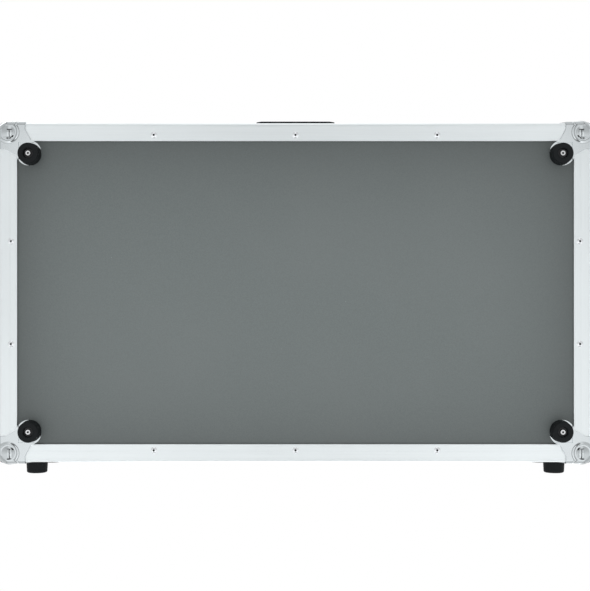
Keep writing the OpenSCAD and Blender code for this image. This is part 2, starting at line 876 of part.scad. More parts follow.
module base_back_wall() {
    color(laminate) in_base() difference() {
        mirror([0, 1, 0]) front_wall_blank(base_h, rim_web);
        mirror([0, 1, 0]) front_rivet_spots() rivet_hole(skin + 1);
        mirror([0, 1, 0]) rim_front_spots(base_h, rim_back_xs) rivet_hole(skin);
        back_feet_spots() screw_bore();
        hinge_holes_base();
    }
}

module hinge_holes_base() {
    translate([0, -shift_y, -base_z]) at_hinges() leaf_rivet_spots() rivet_hole(ply + 2);
}

module side_wall(h, web) {
    difference() {
        side_wall_blank(h, web);
        side_rivet_spots() rivet_hole(skin + 1);
        rim_side_spots(h) rivet_hole(skin);
        at_corners([[-1, -1], [-1, 1]]) side_tab_spot() rivet_hole(skin + 1);
    }
}

module base_left_wall() {
    color(laminate) in_base() side_wall(base_h, rim_web);
}

module base_right_wall() {
    color(laminate) in_base() mirror([1, 0, 0]) side_wall(base_h, rim_web);
}

module long_edges_drilled() {
    difference() {
        long_edges();
        corner_cuts();
        face_rivet_spots() rivet_hole(skin + 1);
        for (m = [0, 1]) mirror([0, m, 0]) front_rivet_spots() rivet_hole(skin + 1);
    }
}

module short_edges_drilled() {
    difference() {
        short_edges();
        corner_cuts();
        face_rivet_spots() rivet_hole(skin + 1);
        for (m = [0, 1]) mirror([m, 0, 0]) side_rivet_spots() rivet_hole(skin + 1);
    }
}

module base_long_edges() {
    color(aluminium) in_base() long_edges_drilled();
}

module base_short_edges() {
    color(aluminium) in_base() short_edges_drilled();
}

module base_corner_posts() {
    color(aluminium) in_base() difference() {
        corner_posts(base_h);
        corner_cuts();
    }
}

module rim_rivet_holes(h, front_xs, back_xs) {
    rim_front_spots(h, front_xs) rivet_hole(skin);
    mirror([0, 1, 0]) rim_front_spots(h, back_xs) rivet_hole(skin);
    for (m = [0, 1]) mirror([m, 0, 0]) rim_side_spots(h) rivet_hole(skin);
}

module base_tongue_rim() {
    color(aluminium) in_base() difference() {
        rim_frame(base_h) tongue_section();
        rim_rivet_holes(base_h, rim_front_xs, rim_back_xs);
    }
}

module base_ball_corners() {
    color(zinc) in_base() ball_corners();
}

module tab_rivets(top) {
    at_corners() side_tab_spot() rivet(skin);
    at_corners([[-1, -1], [1, -1]]) front_tab_spot() rivet(skin);
    if (top) at_corners() translate([foot_inset, foot_inset, 0]) rivet(skin);
}

module base_corner_rivets() {
    color(zinc) in_base() tab_rivets(false);
}

module edge_rivets() {
    face_rivet_spots() rivet(skin);
    for (m = [0, 1]) mirror([0, m, 0]) front_rivet_spots() rivet(skin);
    for (m = [0, 1]) mirror([m, 0, 0]) side_rivet_spots() rivet(skin);
}

module rim_rivets(h, front_xs, back_xs) {
    rim_front_spots(h, front_xs) rivet(skin);
    mirror([0, 1, 0]) rim_front_spots(h, back_xs) rivet(skin);
    for (m = [0, 1]) mirror([m, 0, 0]) rim_side_spots(h) rivet(skin);
}

module base_edge_rivets() {
    color(zinc) in_base() {
        edge_rivets();
        rim_rivets(base_h, rim_front_xs, rim_back_xs);
    }
}

module base_feet() {
    color(rubber) in_base() bottom_feet_spots() foot();
}

module base_back_feet() {
    color(rubber) in_base() back_feet_spots() foot();
}

module base_foot_washers() {
    color(zinc) in_base() {
        bottom_feet_spots() foot_washer();
        back_feet_spots() foot_washer();
    }
}

module base_foot_screws() {
    color(zinc) in_base() {
        bottom_feet_spots() foot_screw();
        back_feet_spots() foot_screw();
    }
}

// ---------- handle ----------

bend = bail_d;
eye_len = 12;
eye_wall = 1.6;
leg_x = grip_len / 2 + bend + free;
eye_in = leg_x + bend + 0.5;
bail_end = eye_in + eye_len + 1.5;
pocket_r = 7;
pocket_w = 2 * (bail_end + 1.5);
pivot_in = bail_d / 2 + 3.5;     // pocket's upper edge to the pivot
finger_in = 2.5;                 // pocket's lower edge to the folded grip
pocket_h = pivot_in + bail_drop + grip_w / 2 + finger_in;
handle_rivet_x = pocket_w / 2 + plate_t + 0.6 + rivet_head_d / 2;
handle_rivet_z = pocket_h / 2 - pocket_r;
handle_w = 2 * (handle_rivet_x + rivet_head_d / 2 + 3);
handle_h = base_h - rim_outer - edge_leg - 2 * handle_margin;
handle_mid = (edge_leg + base_h - rim_outer) / 2;
pivot_z = handle_mid + pocket_h / 2 - pivot_in;

module handle_rivet_spots() {
    for (sx = [-1, 1], sz = [-1, 1])
        translate([sx * handle_rivet_x, -wall_y - plate_t, handle_mid + sz * handle_rivet_z])
            rotate([-90, 0, 0]) children();
}

// A rounded slab on the front wall: its back at y from the middle, grown by extra all round
module handle_slab(y, thick, extra) {
    translate([0, -y, handle_mid]) rotate([90, 0, 0]) linear_extrude(thick)
        round_rect(pocket_w + 2 * extra, pocket_h + 2 * extra, pocket_r + extra);
}

// Shallow pressed dish with a flange and two eyes for the bail
module handle_plate() {
    eye_r = bail_d / 2 + eye_wall;
    color(zinc) in_base() difference() {
        union() {
            difference() {
                union() {
                    translate([0, -wall_y, handle_mid]) rotate([90, 0, 0]) linear_extrude(plate_t)
                        round_rect(handle_w, handle_h, pocket_r + 3);
                    handle_slab(handle_floor, handle_sunk + eps, plate_t);
                }
                handle_slab(handle_floor + plate_t, handle_sunk + 1, 0);
            }
            for (sx = [-1, 1]) translate([sx * (eye_in + eye_len / 2), -bail_y, pivot_z]) {
                rotate([0, 90, 0]) cylinder(r = eye_r, h = eye_len, center = true);
                translate([-eye_len / 2, 0, -eye_r])
                    cube([eye_len, bail_y - handle_floor - plate_t / 2, 2 * eye_r]);
            }
        }
        translate([0, -bail_y, pivot_z]) rotate([0, 90, 0])
            cylinder(d = bail_d + 2 * fit, h = pocket_w - 1, center = true);
        handle_rivet_spots() rivet_hole(ply + 4);
    }
}

module handle_rivets() {
    color(zinc) in_base() handle_rivet_spots() rivet(ply + plate_t);
}

// Steel bail: two stubs in the eyes, two legs and the bar inside the grip
module handle_bail() {
    color(zinc) in_base() translate([0, -bail_y, pivot_z]) for (m = [0, 1]) mirror([m, 0, 0]) {
        translate([leg_x + bend, 0, 0]) rotate([0, 90, 0])
            cylinder(d = bail_d, h = bail_end - leg_x - bend);
        translate([leg_x + bend, 0, -bend]) rotate([90, 0, 0]) rotate([0, 0, 90])
            rotate_extrude(angle = 90) translate([bend, 0]) circle(d = bail_d);
        translate([leg_x, 0, -bail_drop + bend]) cylinder(d = bail_d, h = bail_drop - 2 * bend);
        translate([leg_x - bend, 0, -bail_drop + bend]) rotate([90, 0, 0]) rotate([0, 0, -90])
            rotate_extrude(angle = 90) translate([bend, 0]) circle(d = bail_d);
        translate([-eps, 0, -bail_drop]) rotate([0, 90, 0]) cylinder(d = bail_d, h = leg_x - bend + eps);
    }
}

module handle_grip() {
    color(rubber) in_base() translate([0, -bail_y, pivot_z - bail_drop]) difference() {
        rotate([90, 0, 90]) linear_extrude(grip_len, center = true) grip_section();
        rotate([0, 90, 0]) cylinder(d = bail_d, h = grip_len + 2, center = true);
    }
}

module grip_section() {
    round_rect(grip_t, grip_w, grip_t / 2 - 1);
}

// ---------- latches on the base ----------

module latch_dishes() {
    color(zinc) in_base() both_latches() base_dish();
}

module latch_rivets() {
    color(zinc) in_base() both_latches() base_dish_rivet_spots() rivet(ply + dish_t);
}

module left_spindle() {
    color(zinc) in_base() at_latch(-1) spindle();
}

module right_spindle() {
    color(zinc) in_base() at_latch(1) spindle();
}

module left_cam() {
    color(zinc) in_base() at_latch(-1) cam();
}

module right_cam() {
    color(zinc) in_base() at_latch(1) cam();
}

module left_wing_pins() {
    color(zinc) in_base() at_latch(-1) wing_pins();
}

module right_wing_pins() {
    color(zinc) in_base() at_latch(1) wing_pins();
}

module left_wing_a() {
    color(zinc) in_base() at_latch(-1) wing();
}

module left_wing_b() {
    color(zinc) in_base() at_latch(-1) mirror([1, 0, 0]) wing();
}

module right_wing_a() {
    color(zinc) in_base() at_latch(1) wing();
}

module right_wing_b() {
    color(zinc) in_base() at_latch(1) mirror([1, 0, 0]) wing();
}

// ---------- hinges ----------

module hinge_base_leaves() {
    color(zinc) at_hinges() difference() {
        leaf(0);
        leaf_rivet_spots() rivet_hole(ply + 2);
    }
}

module hinge_base_rivets() {
    color(zinc) at_hinges() leaf_rivet_spots() rivet(ply);
}

module hinge_pins() {
    color(zinc) at_hinges() rotate([0, 90, 0]) cylinder(d = hinge_pin_d, h = hinge_len, center = true);
}

module hinge_lid_leaves() {
    color(zinc) at_hinges() {
        mirror([0, 0, 1]) difference() {
            leaf(1);
            leaf_rivet_spots() rivet_hole(ply + 2);
        }
        stop_lugs();
    }
}

module hinge_lid_rivets() {
    color(zinc) at_hinges() mirror([0, 0, 1]) leaf_rivet_spots() rivet(ply);
}

// ---------- inside ----------

batten_w = 30;

batten_in = 60;
board_in_x = 4;
board_in_y = 8;
foam_in = 1;

// A slab inside the walls, held away from them by in_x and in_y
module inner_slab(z, thick, in_x, in_y) {
    translate([-half_w + skin + in_x, -half_d + skin + in_y, z])
        cube([case_w - 2 * (skin + in_x), case_d - 2 * (skin + in_y), thick]);
}

module board_battens() {
    color("tan") in_base() for (x = [-1, 0, 1])
        translate([x * (half_w - skin - batten_in) - batten_w / 2, -half_d + skin + batten_in / 2, skin])
            cube([batten_w, case_d - 2 * skin - batten_in, batten_h]);
}

module pedal_board() {
    color("tan") in_base() inner_slab(skin + batten_h, board_t, board_in_x, board_in_y);
}

module board_carpet() {
    color([0.1, 0.1, 0.1]) in_base() inner_slab(skin + batten_h + board_t, carpet_t, board_in_x, board_in_y);
}

module lid_foam() {
    color([0.16, 0.16, 0.17]) in_lid() inner_slab(skin, foam_t, foam_in, foam_in);
}

// ---------- lid parts ----------

module lid_panel() {
    color(laminate) in_lid() difference() {
        panel_blank();
        at_corners() translate([foot_inset, foot_inset, 0]) rivet_hole(skin + 1);
    }
}

module in_lid_latches() {
    translate([0, 0, lid_h + part_gap + base_h]) mirror([0, 0, 1]) both_latches() children();
}

module lid_front_wall() {
    color(laminate) in_lid() difference() {
        front_wall_blank(lid_h, lid_web);
        in_lid_latches() dish_cut(30, dish_up + dish_t + 0.2 + part_gap);
        in_lid_latches() lid_dish_rivet_spots() rivet_hole(ply + 2);
        front_rivet_spots() rivet_hole(skin + 1);
        rim_front_spots(lid_h, rim_front_xs) rivet_hole(skin);
        at_corners([[-1, -1], [1, -1]]) front_tab_spot() rivet_hole(skin + 1);
    }
}

module lid_back_wall() {
    color(laminate) in_lid() difference() {
        mirror([0, 1, 0]) front_wall_blank(lid_h, lid_web);
        mirror([0, 1, 0]) front_rivet_spots() rivet_hole(skin + 1);
        mirror([0, 1, 0]) rim_front_spots(lid_h, rim_back_xs) rivet_hole(skin);
        back_feet_spots() screw_bore();
        translate([0, -shift_y, 0]) translate([0, 0, lid_top]) mirror([0, 0, 1])
            at_hinges() mirror([0, 0, 1]) leaf_rivet_spots() rivet_hole(ply + 2);
    }
}

module lid_left_wall() {
    color(laminate) in_lid() side_wall(lid_h, lid_web);
}

module lid_right_wall() {
    color(laminate) in_lid() mirror([1, 0, 0]) side_wall(lid_h, lid_web);
}

module lid_long_edges() {
    color(aluminium) in_lid() long_edges_drilled();
}

module lid_short_edges() {
    color(aluminium) in_lid() short_edges_drilled();
}

module lid_corner_posts() {
    color(aluminium) in_lid() difference() {
        corner_posts(lid_h);
        corner_cuts();
    }
}

module lid_groove_rim() {
    color(aluminium) in_lid() difference() {
        rim_frame(lid_h) groove_section();
        rim_rivet_holes(lid_h, rim_front_xs, rim_back_xs);
    }
}

module lid_ball_corners() {
    color(zinc) in_lid() lid_ball_corners_all();
}

module lid_corner_rivets() {
    color(zinc) in_lid() tab_rivets(true);
}

module lid_edge_rivets() {
    color(zinc) in_lid() {
        edge_rivets();
        rim_rivets(lid_h, rim_front_xs, rim_back_xs);
    }
}

module lid_back_feet() {
    color(rubber) in_lid() back_feet_spots() foot();
}

module lid_foot_washers() {
    color(zinc) in_lid() back_feet_spots() foot_washer();
}

module lid_foot_screws() {
    color(zinc) in_lid() back_feet_spots() foot_screw();
}

module keeper_dishes() {
    color(zinc) in_base() both_latches() lid_dish();
}

module keeper_rivets() {
    color(zinc) in_base() both_latches() lid_dish_rivet_spots() rivet(ply + dish_t);
}

base_panel();
base_front_wall();
base_back_wall();
base_left_wall();
base_right_wall();
base_long_edges();
base_short_edges();
base_corner_posts();
base_tongue_rim();
base_ball_corners();
base_corner_rivets();
base_edge_rivets();
base_feet();
base_back_feet();
base_foot_washers();
base_foot_screws();
handle_plate();
handle_rivets();
handle_bail();
handle_grip();
latch_dishes();
latch_rivets();
left_spindle();
left_cam();
left_wing_pins();
left_wing_a();
left_wing_b();
right_spindle();
right_cam();
right_wing_pins();
right_wing_a();
right_wing_b();
hinge_base_leaves();
hinge_base_rivets();
hinge_pins();
board_battens();
pedal_board();
board_carpet();
lid_panel();
lid_front_wall();
lid_back_wall();
lid_left_wall();
lid_right_wall();
lid_long_edges();
lid_short_edges();
lid_corner_posts();
lid_groove_rim();
lid_ball_corners();
lid_corner_rivets();
lid_edge_rivets();
lid_back_feet();
lid_foot_washers();
lid_foot_screws();
keeper_dishes();
keeper_rivets();
hinge_lid_leaves();
hinge_lid_rivets();
lid_foam();
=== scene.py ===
"""Looks of the pedal case: finishes, soft parts and small fittings round the fixed frame.

The case lies on its feet at Z = 0, handle side towards -Y. The camera looks straight up at its underside.
Lengths are in metres.
"""

import logging
import math
from dataclasses import dataclass
from enum import Enum
from typing import Callable, Iterable, Optional, Sequence, Union

import bmesh
import bpy
from bmesh.types import BMesh
from bpy.types import Material, Mesh, Node, NodeSocket, NodeTree
from bpy.types import Object as Piece
from mathutils import Matrix, Vector, noise


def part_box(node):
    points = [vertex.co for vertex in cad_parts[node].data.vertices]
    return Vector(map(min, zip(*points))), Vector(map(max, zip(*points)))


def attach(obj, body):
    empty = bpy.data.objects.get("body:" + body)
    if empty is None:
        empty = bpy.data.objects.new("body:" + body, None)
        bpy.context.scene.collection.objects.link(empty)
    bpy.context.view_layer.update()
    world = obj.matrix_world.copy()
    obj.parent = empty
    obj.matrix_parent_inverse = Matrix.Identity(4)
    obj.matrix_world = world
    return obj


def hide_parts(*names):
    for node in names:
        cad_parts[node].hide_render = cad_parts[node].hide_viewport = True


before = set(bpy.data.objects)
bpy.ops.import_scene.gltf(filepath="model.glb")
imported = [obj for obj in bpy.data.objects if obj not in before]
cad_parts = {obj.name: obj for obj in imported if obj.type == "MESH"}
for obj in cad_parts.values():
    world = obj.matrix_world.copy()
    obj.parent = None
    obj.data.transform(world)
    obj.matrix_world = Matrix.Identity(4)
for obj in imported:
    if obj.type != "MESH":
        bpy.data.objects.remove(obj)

logging.basicConfig(level=logging.INFO, format="%(message)s")
log = logging.getLogger("pedal_case")
MM = 0.001
Colour = tuple[float, float, float]
Span = tuple[float, float]
Sockets = Sequence[NodeSocket]
Value = Union[NodeSocket, float]
Spot = tuple[Vector, Vector]
ORIGIN = (0.0, 0.0, 0.0)


class Along(Enum):
    """The direction in which a metal's grain runs, as the stretch of its noise."""

    X = (6.0, 900.0, 900.0)
    Y = (900.0, 6.0, 900.0)
    Z = (900.0, 900.0, 6.0)
    NONE = (420.0, 420.0, 420.0)


class Body(str, Enum):
    """The frame's bodies that carry pieces of this script."""

    BASE = "base"
    LID = "lid"
    HANDLE = "handle"


def shade(colour: Colour, factor: float) -> Colour:
    """Scales a colour, up to white."""
    return tuple(min(1.0, part * factor) for part in colour)


# ------ node helpers


class Tree:
    """A short way to write a node tree."""

    def __init__(self, tree: NodeTree) -> None:
        """Wraps a node tree."""
        self.tree = tree

    def add(self, kind: str, inputs: Optional[dict] = None, **props: object) -> Node:
        """Adds a node.

        Args:
            kind: Blender's name of the node type.
            inputs: Values or output sockets for its inputs, by name or number.
            props: Properties of the node itself.

        Returns:
            The new node.
        """
        node = self.tree.nodes.new(kind)
        for key, value in props.items():
            setattr(node, key, value)
        for key, value in (inputs or {}).items():
            if isinstance(value, NodeSocket):
                self.link(value, node.inputs[key])
            else:
                node.inputs[key].default_value = value
        return node

    def link(self, source: NodeSocket, target: NodeSocket) -> None:
        """Links an output to an input."""
        self.tree.links.new(source, target)

    def math(self, operation: str, a: Value, b: Value = 0.0, clamp: bool = False) -> NodeSocket:
        """Adds a Math node and returns its output."""
        return self.add("ShaderNodeMath", {0: a, 1: b}, operation=operation, use_clamp=clamp).outputs[0]

    def times(self, first: Value, *others: Value) -> Value:
        """Multiplies values and returns the product."""
        for other in others:
            first = self.math("MULTIPLY", first, other)
        return first

    def plus(self, a: Value, b: Value) -> NodeSocket:
        """Adds two values and returns the sum."""
        return self.math("ADD", a, b)

    def minus(self, a: Value, b: Value, clamp: bool = False) -> NodeSocket:
        """Subtracts the second value and returns the difference."""
        return self.math("SUBTRACT", a, b, clamp)

    def vector(self, operation: str, a: object, b: object = ORIGIN, output: str = "Vector") -> NodeSocket:
        """Adds a Vector Math node and returns one of its outputs."""
        return self.add("ShaderNodeVectorMath", {0: a, 1: b}, operation=operation).outputs[output]

    def split(self, vector: NodeSocket) -> Sockets:
        """Splits a vector and returns its three parts."""
        return self.add("ShaderNodeSeparateXYZ", {0: vector}).outputs

    def ramp(self, value: Value, low: float, high: float, to_low: float = 0.0,
             to_high: float = 1.0) -> NodeSocket:
        """Maps a range smoothly onto another and returns the output."""
        return self.add("ShaderNodeMapRange", {0: value, 1: low, 2: high, 3: to_low, 4: to_high},
                        interpolation_type="SMOOTHSTEP").outputs[0]

    def band(self, value: Value, rise: Span, fall: Span) -> NodeSocket:
        """Gives 1 between a smooth rise and a smooth fall; each runs from its 0 to its 1."""
        return self.times(self.ramp(value, *rise), self.ramp(value, *fall))

    def noise(self, vector: NodeSocket, scale: float, detail: float = 3.0, rough: float = 0.55) -> NodeSocket:
        """Adds a noise texture and returns its factor."""
        return self.add("ShaderNodeTexNoise", {"Vector": vector, "Scale": scale, "Detail": detail,
                                               "Roughness": rough}).outputs[0]

    def stretched_noise(self, vector: NodeSocket, stretch: Colour, detail: float) -> NodeSocket:
        """Adds a noise that is drawn out along one direction and returns its factor."""
        mapping = self.add("ShaderNodeMapping", {"Vector": vector, "Scale": stretch})
        return self.noise(mapping.outputs[0], 1.0, detail, 0.6)

    def cells(self, vector: NodeSocket, scale: float, feature: str = "F1") -> NodeSocket:
        """Adds a cell texture and returns the distance from each cell's middle."""
        return self.add("ShaderNodeTexVoronoi", {"Vector": vector, "Scale": scale},
                        feature=feature).outputs["Distance"]

    def choose(self, factor: Value, a: Value, b: Value) -> NodeSocket:
        """Mixes two numbers and returns the output."""
        return self.add("ShaderNodeMix", {0: factor, 2: a, 3: b}).outputs[0]

    def mix(self, factor: Value, a: object, b: object) -> NodeSocket:
        """Mixes two colours and returns the colour output."""
        a, b = (part if isinstance(part, NodeSocket) else (*part, 1.0) for part in (a, b))
        return self.add("ShaderNodeMix", {0: factor, 6: a, 7: b}, data_type="RGBA").outputs[2]


def new_group(name: str, inputs: dict[str, object], outputs: Sequence[str]) -> tuple[Tree, Sockets, Sockets]:
    """Makes an empty shader group with named sockets.

    Args:
        name: The group's name.
        inputs: Default of each input by its name, a number or a vector.
        outputs: Name of each output, all numbers.

    Returns:
        The tree, the sockets that give its inputs and those that take its outputs.
    """
    group = bpy.data.node_groups.new(name, "ShaderNodeTree")
    for label, default in inputs.items():
        kind = "NodeSocketFloat" if isinstance(default, float) else "NodeSocketVector"
        group.interface.new_socket(name=label, in_out="INPUT", socket_type=kind).default_value = default
    for label in outputs:
        group.interface.new_socket(name=label, in_out="OUTPUT", socket_type="NodeSocketFloat")
    return Tree(group), group.nodes.new("NodeGroupInput").outputs, group.nodes.new("NodeGroupOutput").inputs


def grain_group() -> NodeTree:
    """Builds the stretched grain of drawn or brushed metal.

    Returns:
        A group that gives a tone and a height.
    """
    tree, given, result = new_group(
        "drawn_grain", {"Vector": ORIGIN, "Stretch": (1.0, 1.0, 1.0), "Amount": 0.5}, ["Tone", "Height"])
    scaled = tree.vector("MULTIPLY", given["Vector"], given["Stretch"])
    fine = tree.noise(scaled, scale=2.2, detail=4.0, rough=0.65)
    broad = tree.noise(scaled, scale=0.5, detail=2.0, rough=0.5)
    fine_share = 0.65
    both = tree.plus(tree.times(fine, fine_share), tree.times(broad, 1 - fine_share))
    tree.link(tree.plus(tree.times(tree.minus(both, 0.5), given["Amount"]), 0.5), result["Tone"])
    tree.link(fine, result["Height"])
    return tree.tree


def dust_group() -> NodeTree:
    """Builds a mask of fine dust specks and faint smudges.

    Returns:
        A group that gives a speck mask and a smudge mask.
    """
    tree, given, result = new_group("dust", {"Vector": ORIGIN, "Specks": 0.5, "Smudges": 0.5},
                                    ["Speck", "Smudge"])
    place = given["Vector"]
    spot = tree.ramp(tree.cells(place, 95.0), 0.05, 0.02)
    some = tree.ramp(tree.noise(place, 38.0, detail=1.0), 0.66, 0.7)
    tree.link(tree.times(spot, some, given["Specks"]), result["Speck"])
    cloud = tree.ramp(tree.noise(place, 7.0, detail=5.0, rough=0.6), 0.42, 0.72)
    tree.link(tree.times(cloud, given["Smudges"]), result["Smudge"])
    return tree.tree


def arris_group() -> NodeTree:
    """Builds a mask along the outer arrises of a box, broken up by noise, for worn edges.

    Returns:
        A group that gives the mask from the box's middle, half size and the width of the wear.
    """
    tree, given, result = new_group(
        "arris_wear", {"Vector": ORIGIN, "Middle": ORIGIN, "Half": (1.0, 1.0, 1.0), "Width": 3.0 * MM}, ["Mask"])
    folded = tree.vector("ABSOLUTE", tree.vector("SUBTRACT", given["Vector"], given["Middle"]))
    x, y, z = tree.split(tree.vector("SUBTRACT", given["Half"], folded))
    # An arris is where the second of the three depths is small.
    second = tree.math("MAXIMUM", tree.math("MINIMUM", x, y),
                       tree.math("MINIMUM", tree.math("MAXIMUM", x, y), z))
    ragged = tree.times(tree.noise(given["Vector"], 130.0, detail=4.0, rough=0.7), 2.0)
    reach = tree.times(given["Width"], ragged)
    tree.link(tree.minus(1.0, tree.math("DIVIDE", second, reach, clamp=True), clamp=True), result["Mask"])
    return tree.tree


GROUPS: dict[str, NodeTree] = {}


def group_of(name: str) -> NodeTree:
    """Returns a shared shader group, built on first use."""
    makers = {"grain": grain_group, "dust": dust_group, "arris": arris_group}
    if name not in GROUPS:
        GROUPS[name] = makers[name]()
    return GROUPS[name]


# ------ finishes


class Finish:
    """A finish that becomes one Blender material."""

    name: str

    def start(self) -> tuple[Material, Tree, Node, NodeSocket]:
        """Makes an empty material.

        Returns:
            The material, its tree, its Principled shader and the Object coordinates.
        """
        material = bpy.data.materials.new(self.name)
        material.use_nodes = True
        tree = Tree(material.node_tree)
        shader = material.node_tree.nodes["Principled BSDF"]
        return material, tree, shader, tree.add("ShaderNodeTexCoord").outputs["Object"]

    def use(self, tree: Tree, group: str, inputs: dict) -> Sockets:
        """Places a shared group in this material and returns its outputs."""
        return tree.add("ShaderNodeGroup", inputs, node_tree=group_of(group)).outputs

    def wire(self, tree: Tree, shader: Node, colour: NodeSocket, rough: NodeSocket) -> None:
        """Links a colour and a roughness to the shader."""
        tree.link(colour, shader.inputs["Base Color"])
        tree.link(rough, shader.inputs["Roughness"])

    def bump(self, tree: Tree, shader: Node, height: NodeSocket, strength: float, distance: float) -> None:
        """Feeds a height through a Bump node into the shader's normal."""
        node = tree.add("ShaderNodeBump", {"Height": height, "Strength": strength, "Distance": distance})
        tree.link(node.outputs[0], shader.inputs["Normal"])

    def material(self) -> Material:
        """Builds the material; each finish gives its own."""
        raise NotImplementedError


@dataclass(frozen=True)
class Metal(Finish):
    """Drawn, plated or painted metal with grain and smudges, and with bright arrises where it is worn."""

    name: str
    colour: Colour
    roughness: float
    along: Along = Along.NONE
    grain: float = 0.05
    smudge: float = 0.35
    metallic: float = 1.0
    specular: float = 0.5
    worn: bool = False
    grain_height: float = 0.01 * MM
    smudge_cover: float = 0.12
    smudge_rough: float = 0.16
    wear_width: float = 2.2 * MM
    wear_cover: float = 0.35
    wear_gloss: float = 0.08
    wear_colour: Colour = (0.93, 0.94, 0.95)

    def material(self) -> Material:
        """Builds the metal."""
        material, tree, shader, coords = self.start()
        grain = self.use(tree, "grain", {"Vector": coords, "Stretch": self.along.value, "Amount": 1.0})
        smudge = self.use(tree, "dust", {"Vector": coords, "Smudges": self.smudge})["Smudge"]
        colour = tree.mix(grain["Tone"], shade(self.colour, 1 - self.grain * 2.2),
                          shade(self.colour, 1 + self.grain))
        colour = tree.mix(tree.times(smudge, self.smudge_cover), colour, shade(self.colour, 0.82))
        rough = tree.ramp(grain["Tone"], 0.25, 0.75, self.roughness * 0.88, self.roughness * 1.14)
        rough = tree.plus(rough, tree.times(smudge, self.smudge_rough))
        if self.worn:
            wear = self.use(tree, "arris", {"Vector": coords, "Middle": CASE.middle(), "Half": CASE.half(),
                                            "Width": self.wear_width})["Mask"]
            colour = tree.mix(tree.times(wear, self.wear_cover), colour, self.wear_colour)
            rough = tree.minus(rough, tree.times(wear, self.wear_gloss), clamp=True)
        self.wire(tree, shader, colour, rough)
        shader.inputs["Metallic"].default_value = self.metallic
        shader.inputs["Specular IOR Level"].default_value = self.specular
        self.bump(tree, shader, grain["Height"], 0.5, self.grain_height)
        return material


@dataclass(frozen=True)
class CornerZinc(Metal):
    """Pressed and plated corner metal: a hollow fillet where the ball leaves each plate, with painted shade in
    the crease and along the fillet's rim.
    """

    ball_in: float = 11.5 * MM
    crease_r: float = 10.8 * MM
    fillet_r: float = 14.0 * MM
    fillet_h: float = 0.5 * MM
    fade: float = 0.7 * MM
    rim_rise: float = 0.9 * MM
    # How dark the painted shade is in the crease and along the fillet's rim.
    root_crease_shade: float = 0.16
    rim_crease_shade: float = 0.24

    def material(self) -> Material:
        """Builds the metal and adds the fillet and its painted shade."""
        material = super().material()
        tree = Tree(material.node_tree)
        shader = material.node_tree.nodes["Principled BSDF"]
        across = self.across(tree)
        on_plate = tree.ramp(across, self.crease_r - 0.6 * MM, self.crease_r - 0.3 * MM)
        root = tree.times(tree.ramp(across, self.crease_r + self.fade, self.crease_r), on_plate)
        rim = tree.band(across, (self.fillet_r - self.rim_rise, self.fillet_r),
                        (self.fillet_r + self.fade, self.fillet_r))
        # painted shade: a dark ring in the crease at the ball's root and a soft dark line along the fillet's rim
        crease_shade = tree.math("MAXIMUM", tree.times(root, self.root_crease_shade), tree.times(rim, self.rim_crease_shade))
        plain = shader.inputs["Base Color"].links[0].from_socket
        tree.link(tree.mix(crease_shade, plain, shade(self.colour, 0.25)), shader.inputs["Base Color"])
        rise = tree.times(tree.ramp(across, self.fillet_r, self.crease_r), on_plate)
        grain = shader.inputs["Normal"].links[0].from_socket
        fillet = tree.add("ShaderNodeBump", {"Height": rise, "Strength": 1.0, "Distance": self.fillet_h,
                                             "Normal": grain})
        tree.link(fillet.outputs[0], shader.inputs["Normal"])
        return material

    def across(self, tree: Tree) -> NodeSocket:
        """Gives the distance from the nearest ball's axis, measured in the plane of the surface.

        Args:
            tree: The material's tree.

        Returns:
            The distance in metres.
        """
        coords = tree.add("ShaderNodeTexCoord").outputs
        folded = tree.vector("ABSOLUTE", tree.vector("SUBTRACT", coords["Object"], CASE.middle()))
        offset = tree.vector("SUBTRACT", folded, CASE.half() - Vector((self.ball_in,) * 3))
        facing = tree.vector("ABSOLUTE", coords["Normal"])
        depth = tree.vector("DOT_PRODUCT", offset, facing, output="Value")
        length = tree.vector("LENGTH", offset, output="Value")
        square = tree.minus(tree.times(length, length), tree.times(depth, depth))
        return tree.math("SQRT", tree.math("MAXIMUM", square, 0.0))


@dataclass(frozen=True)
class ShadeSide:
    """The painted shade along one side of the base panel: which side, how dark and how far it reaches."""

    axis: int
    high: bool
    depth: float
    reach: float


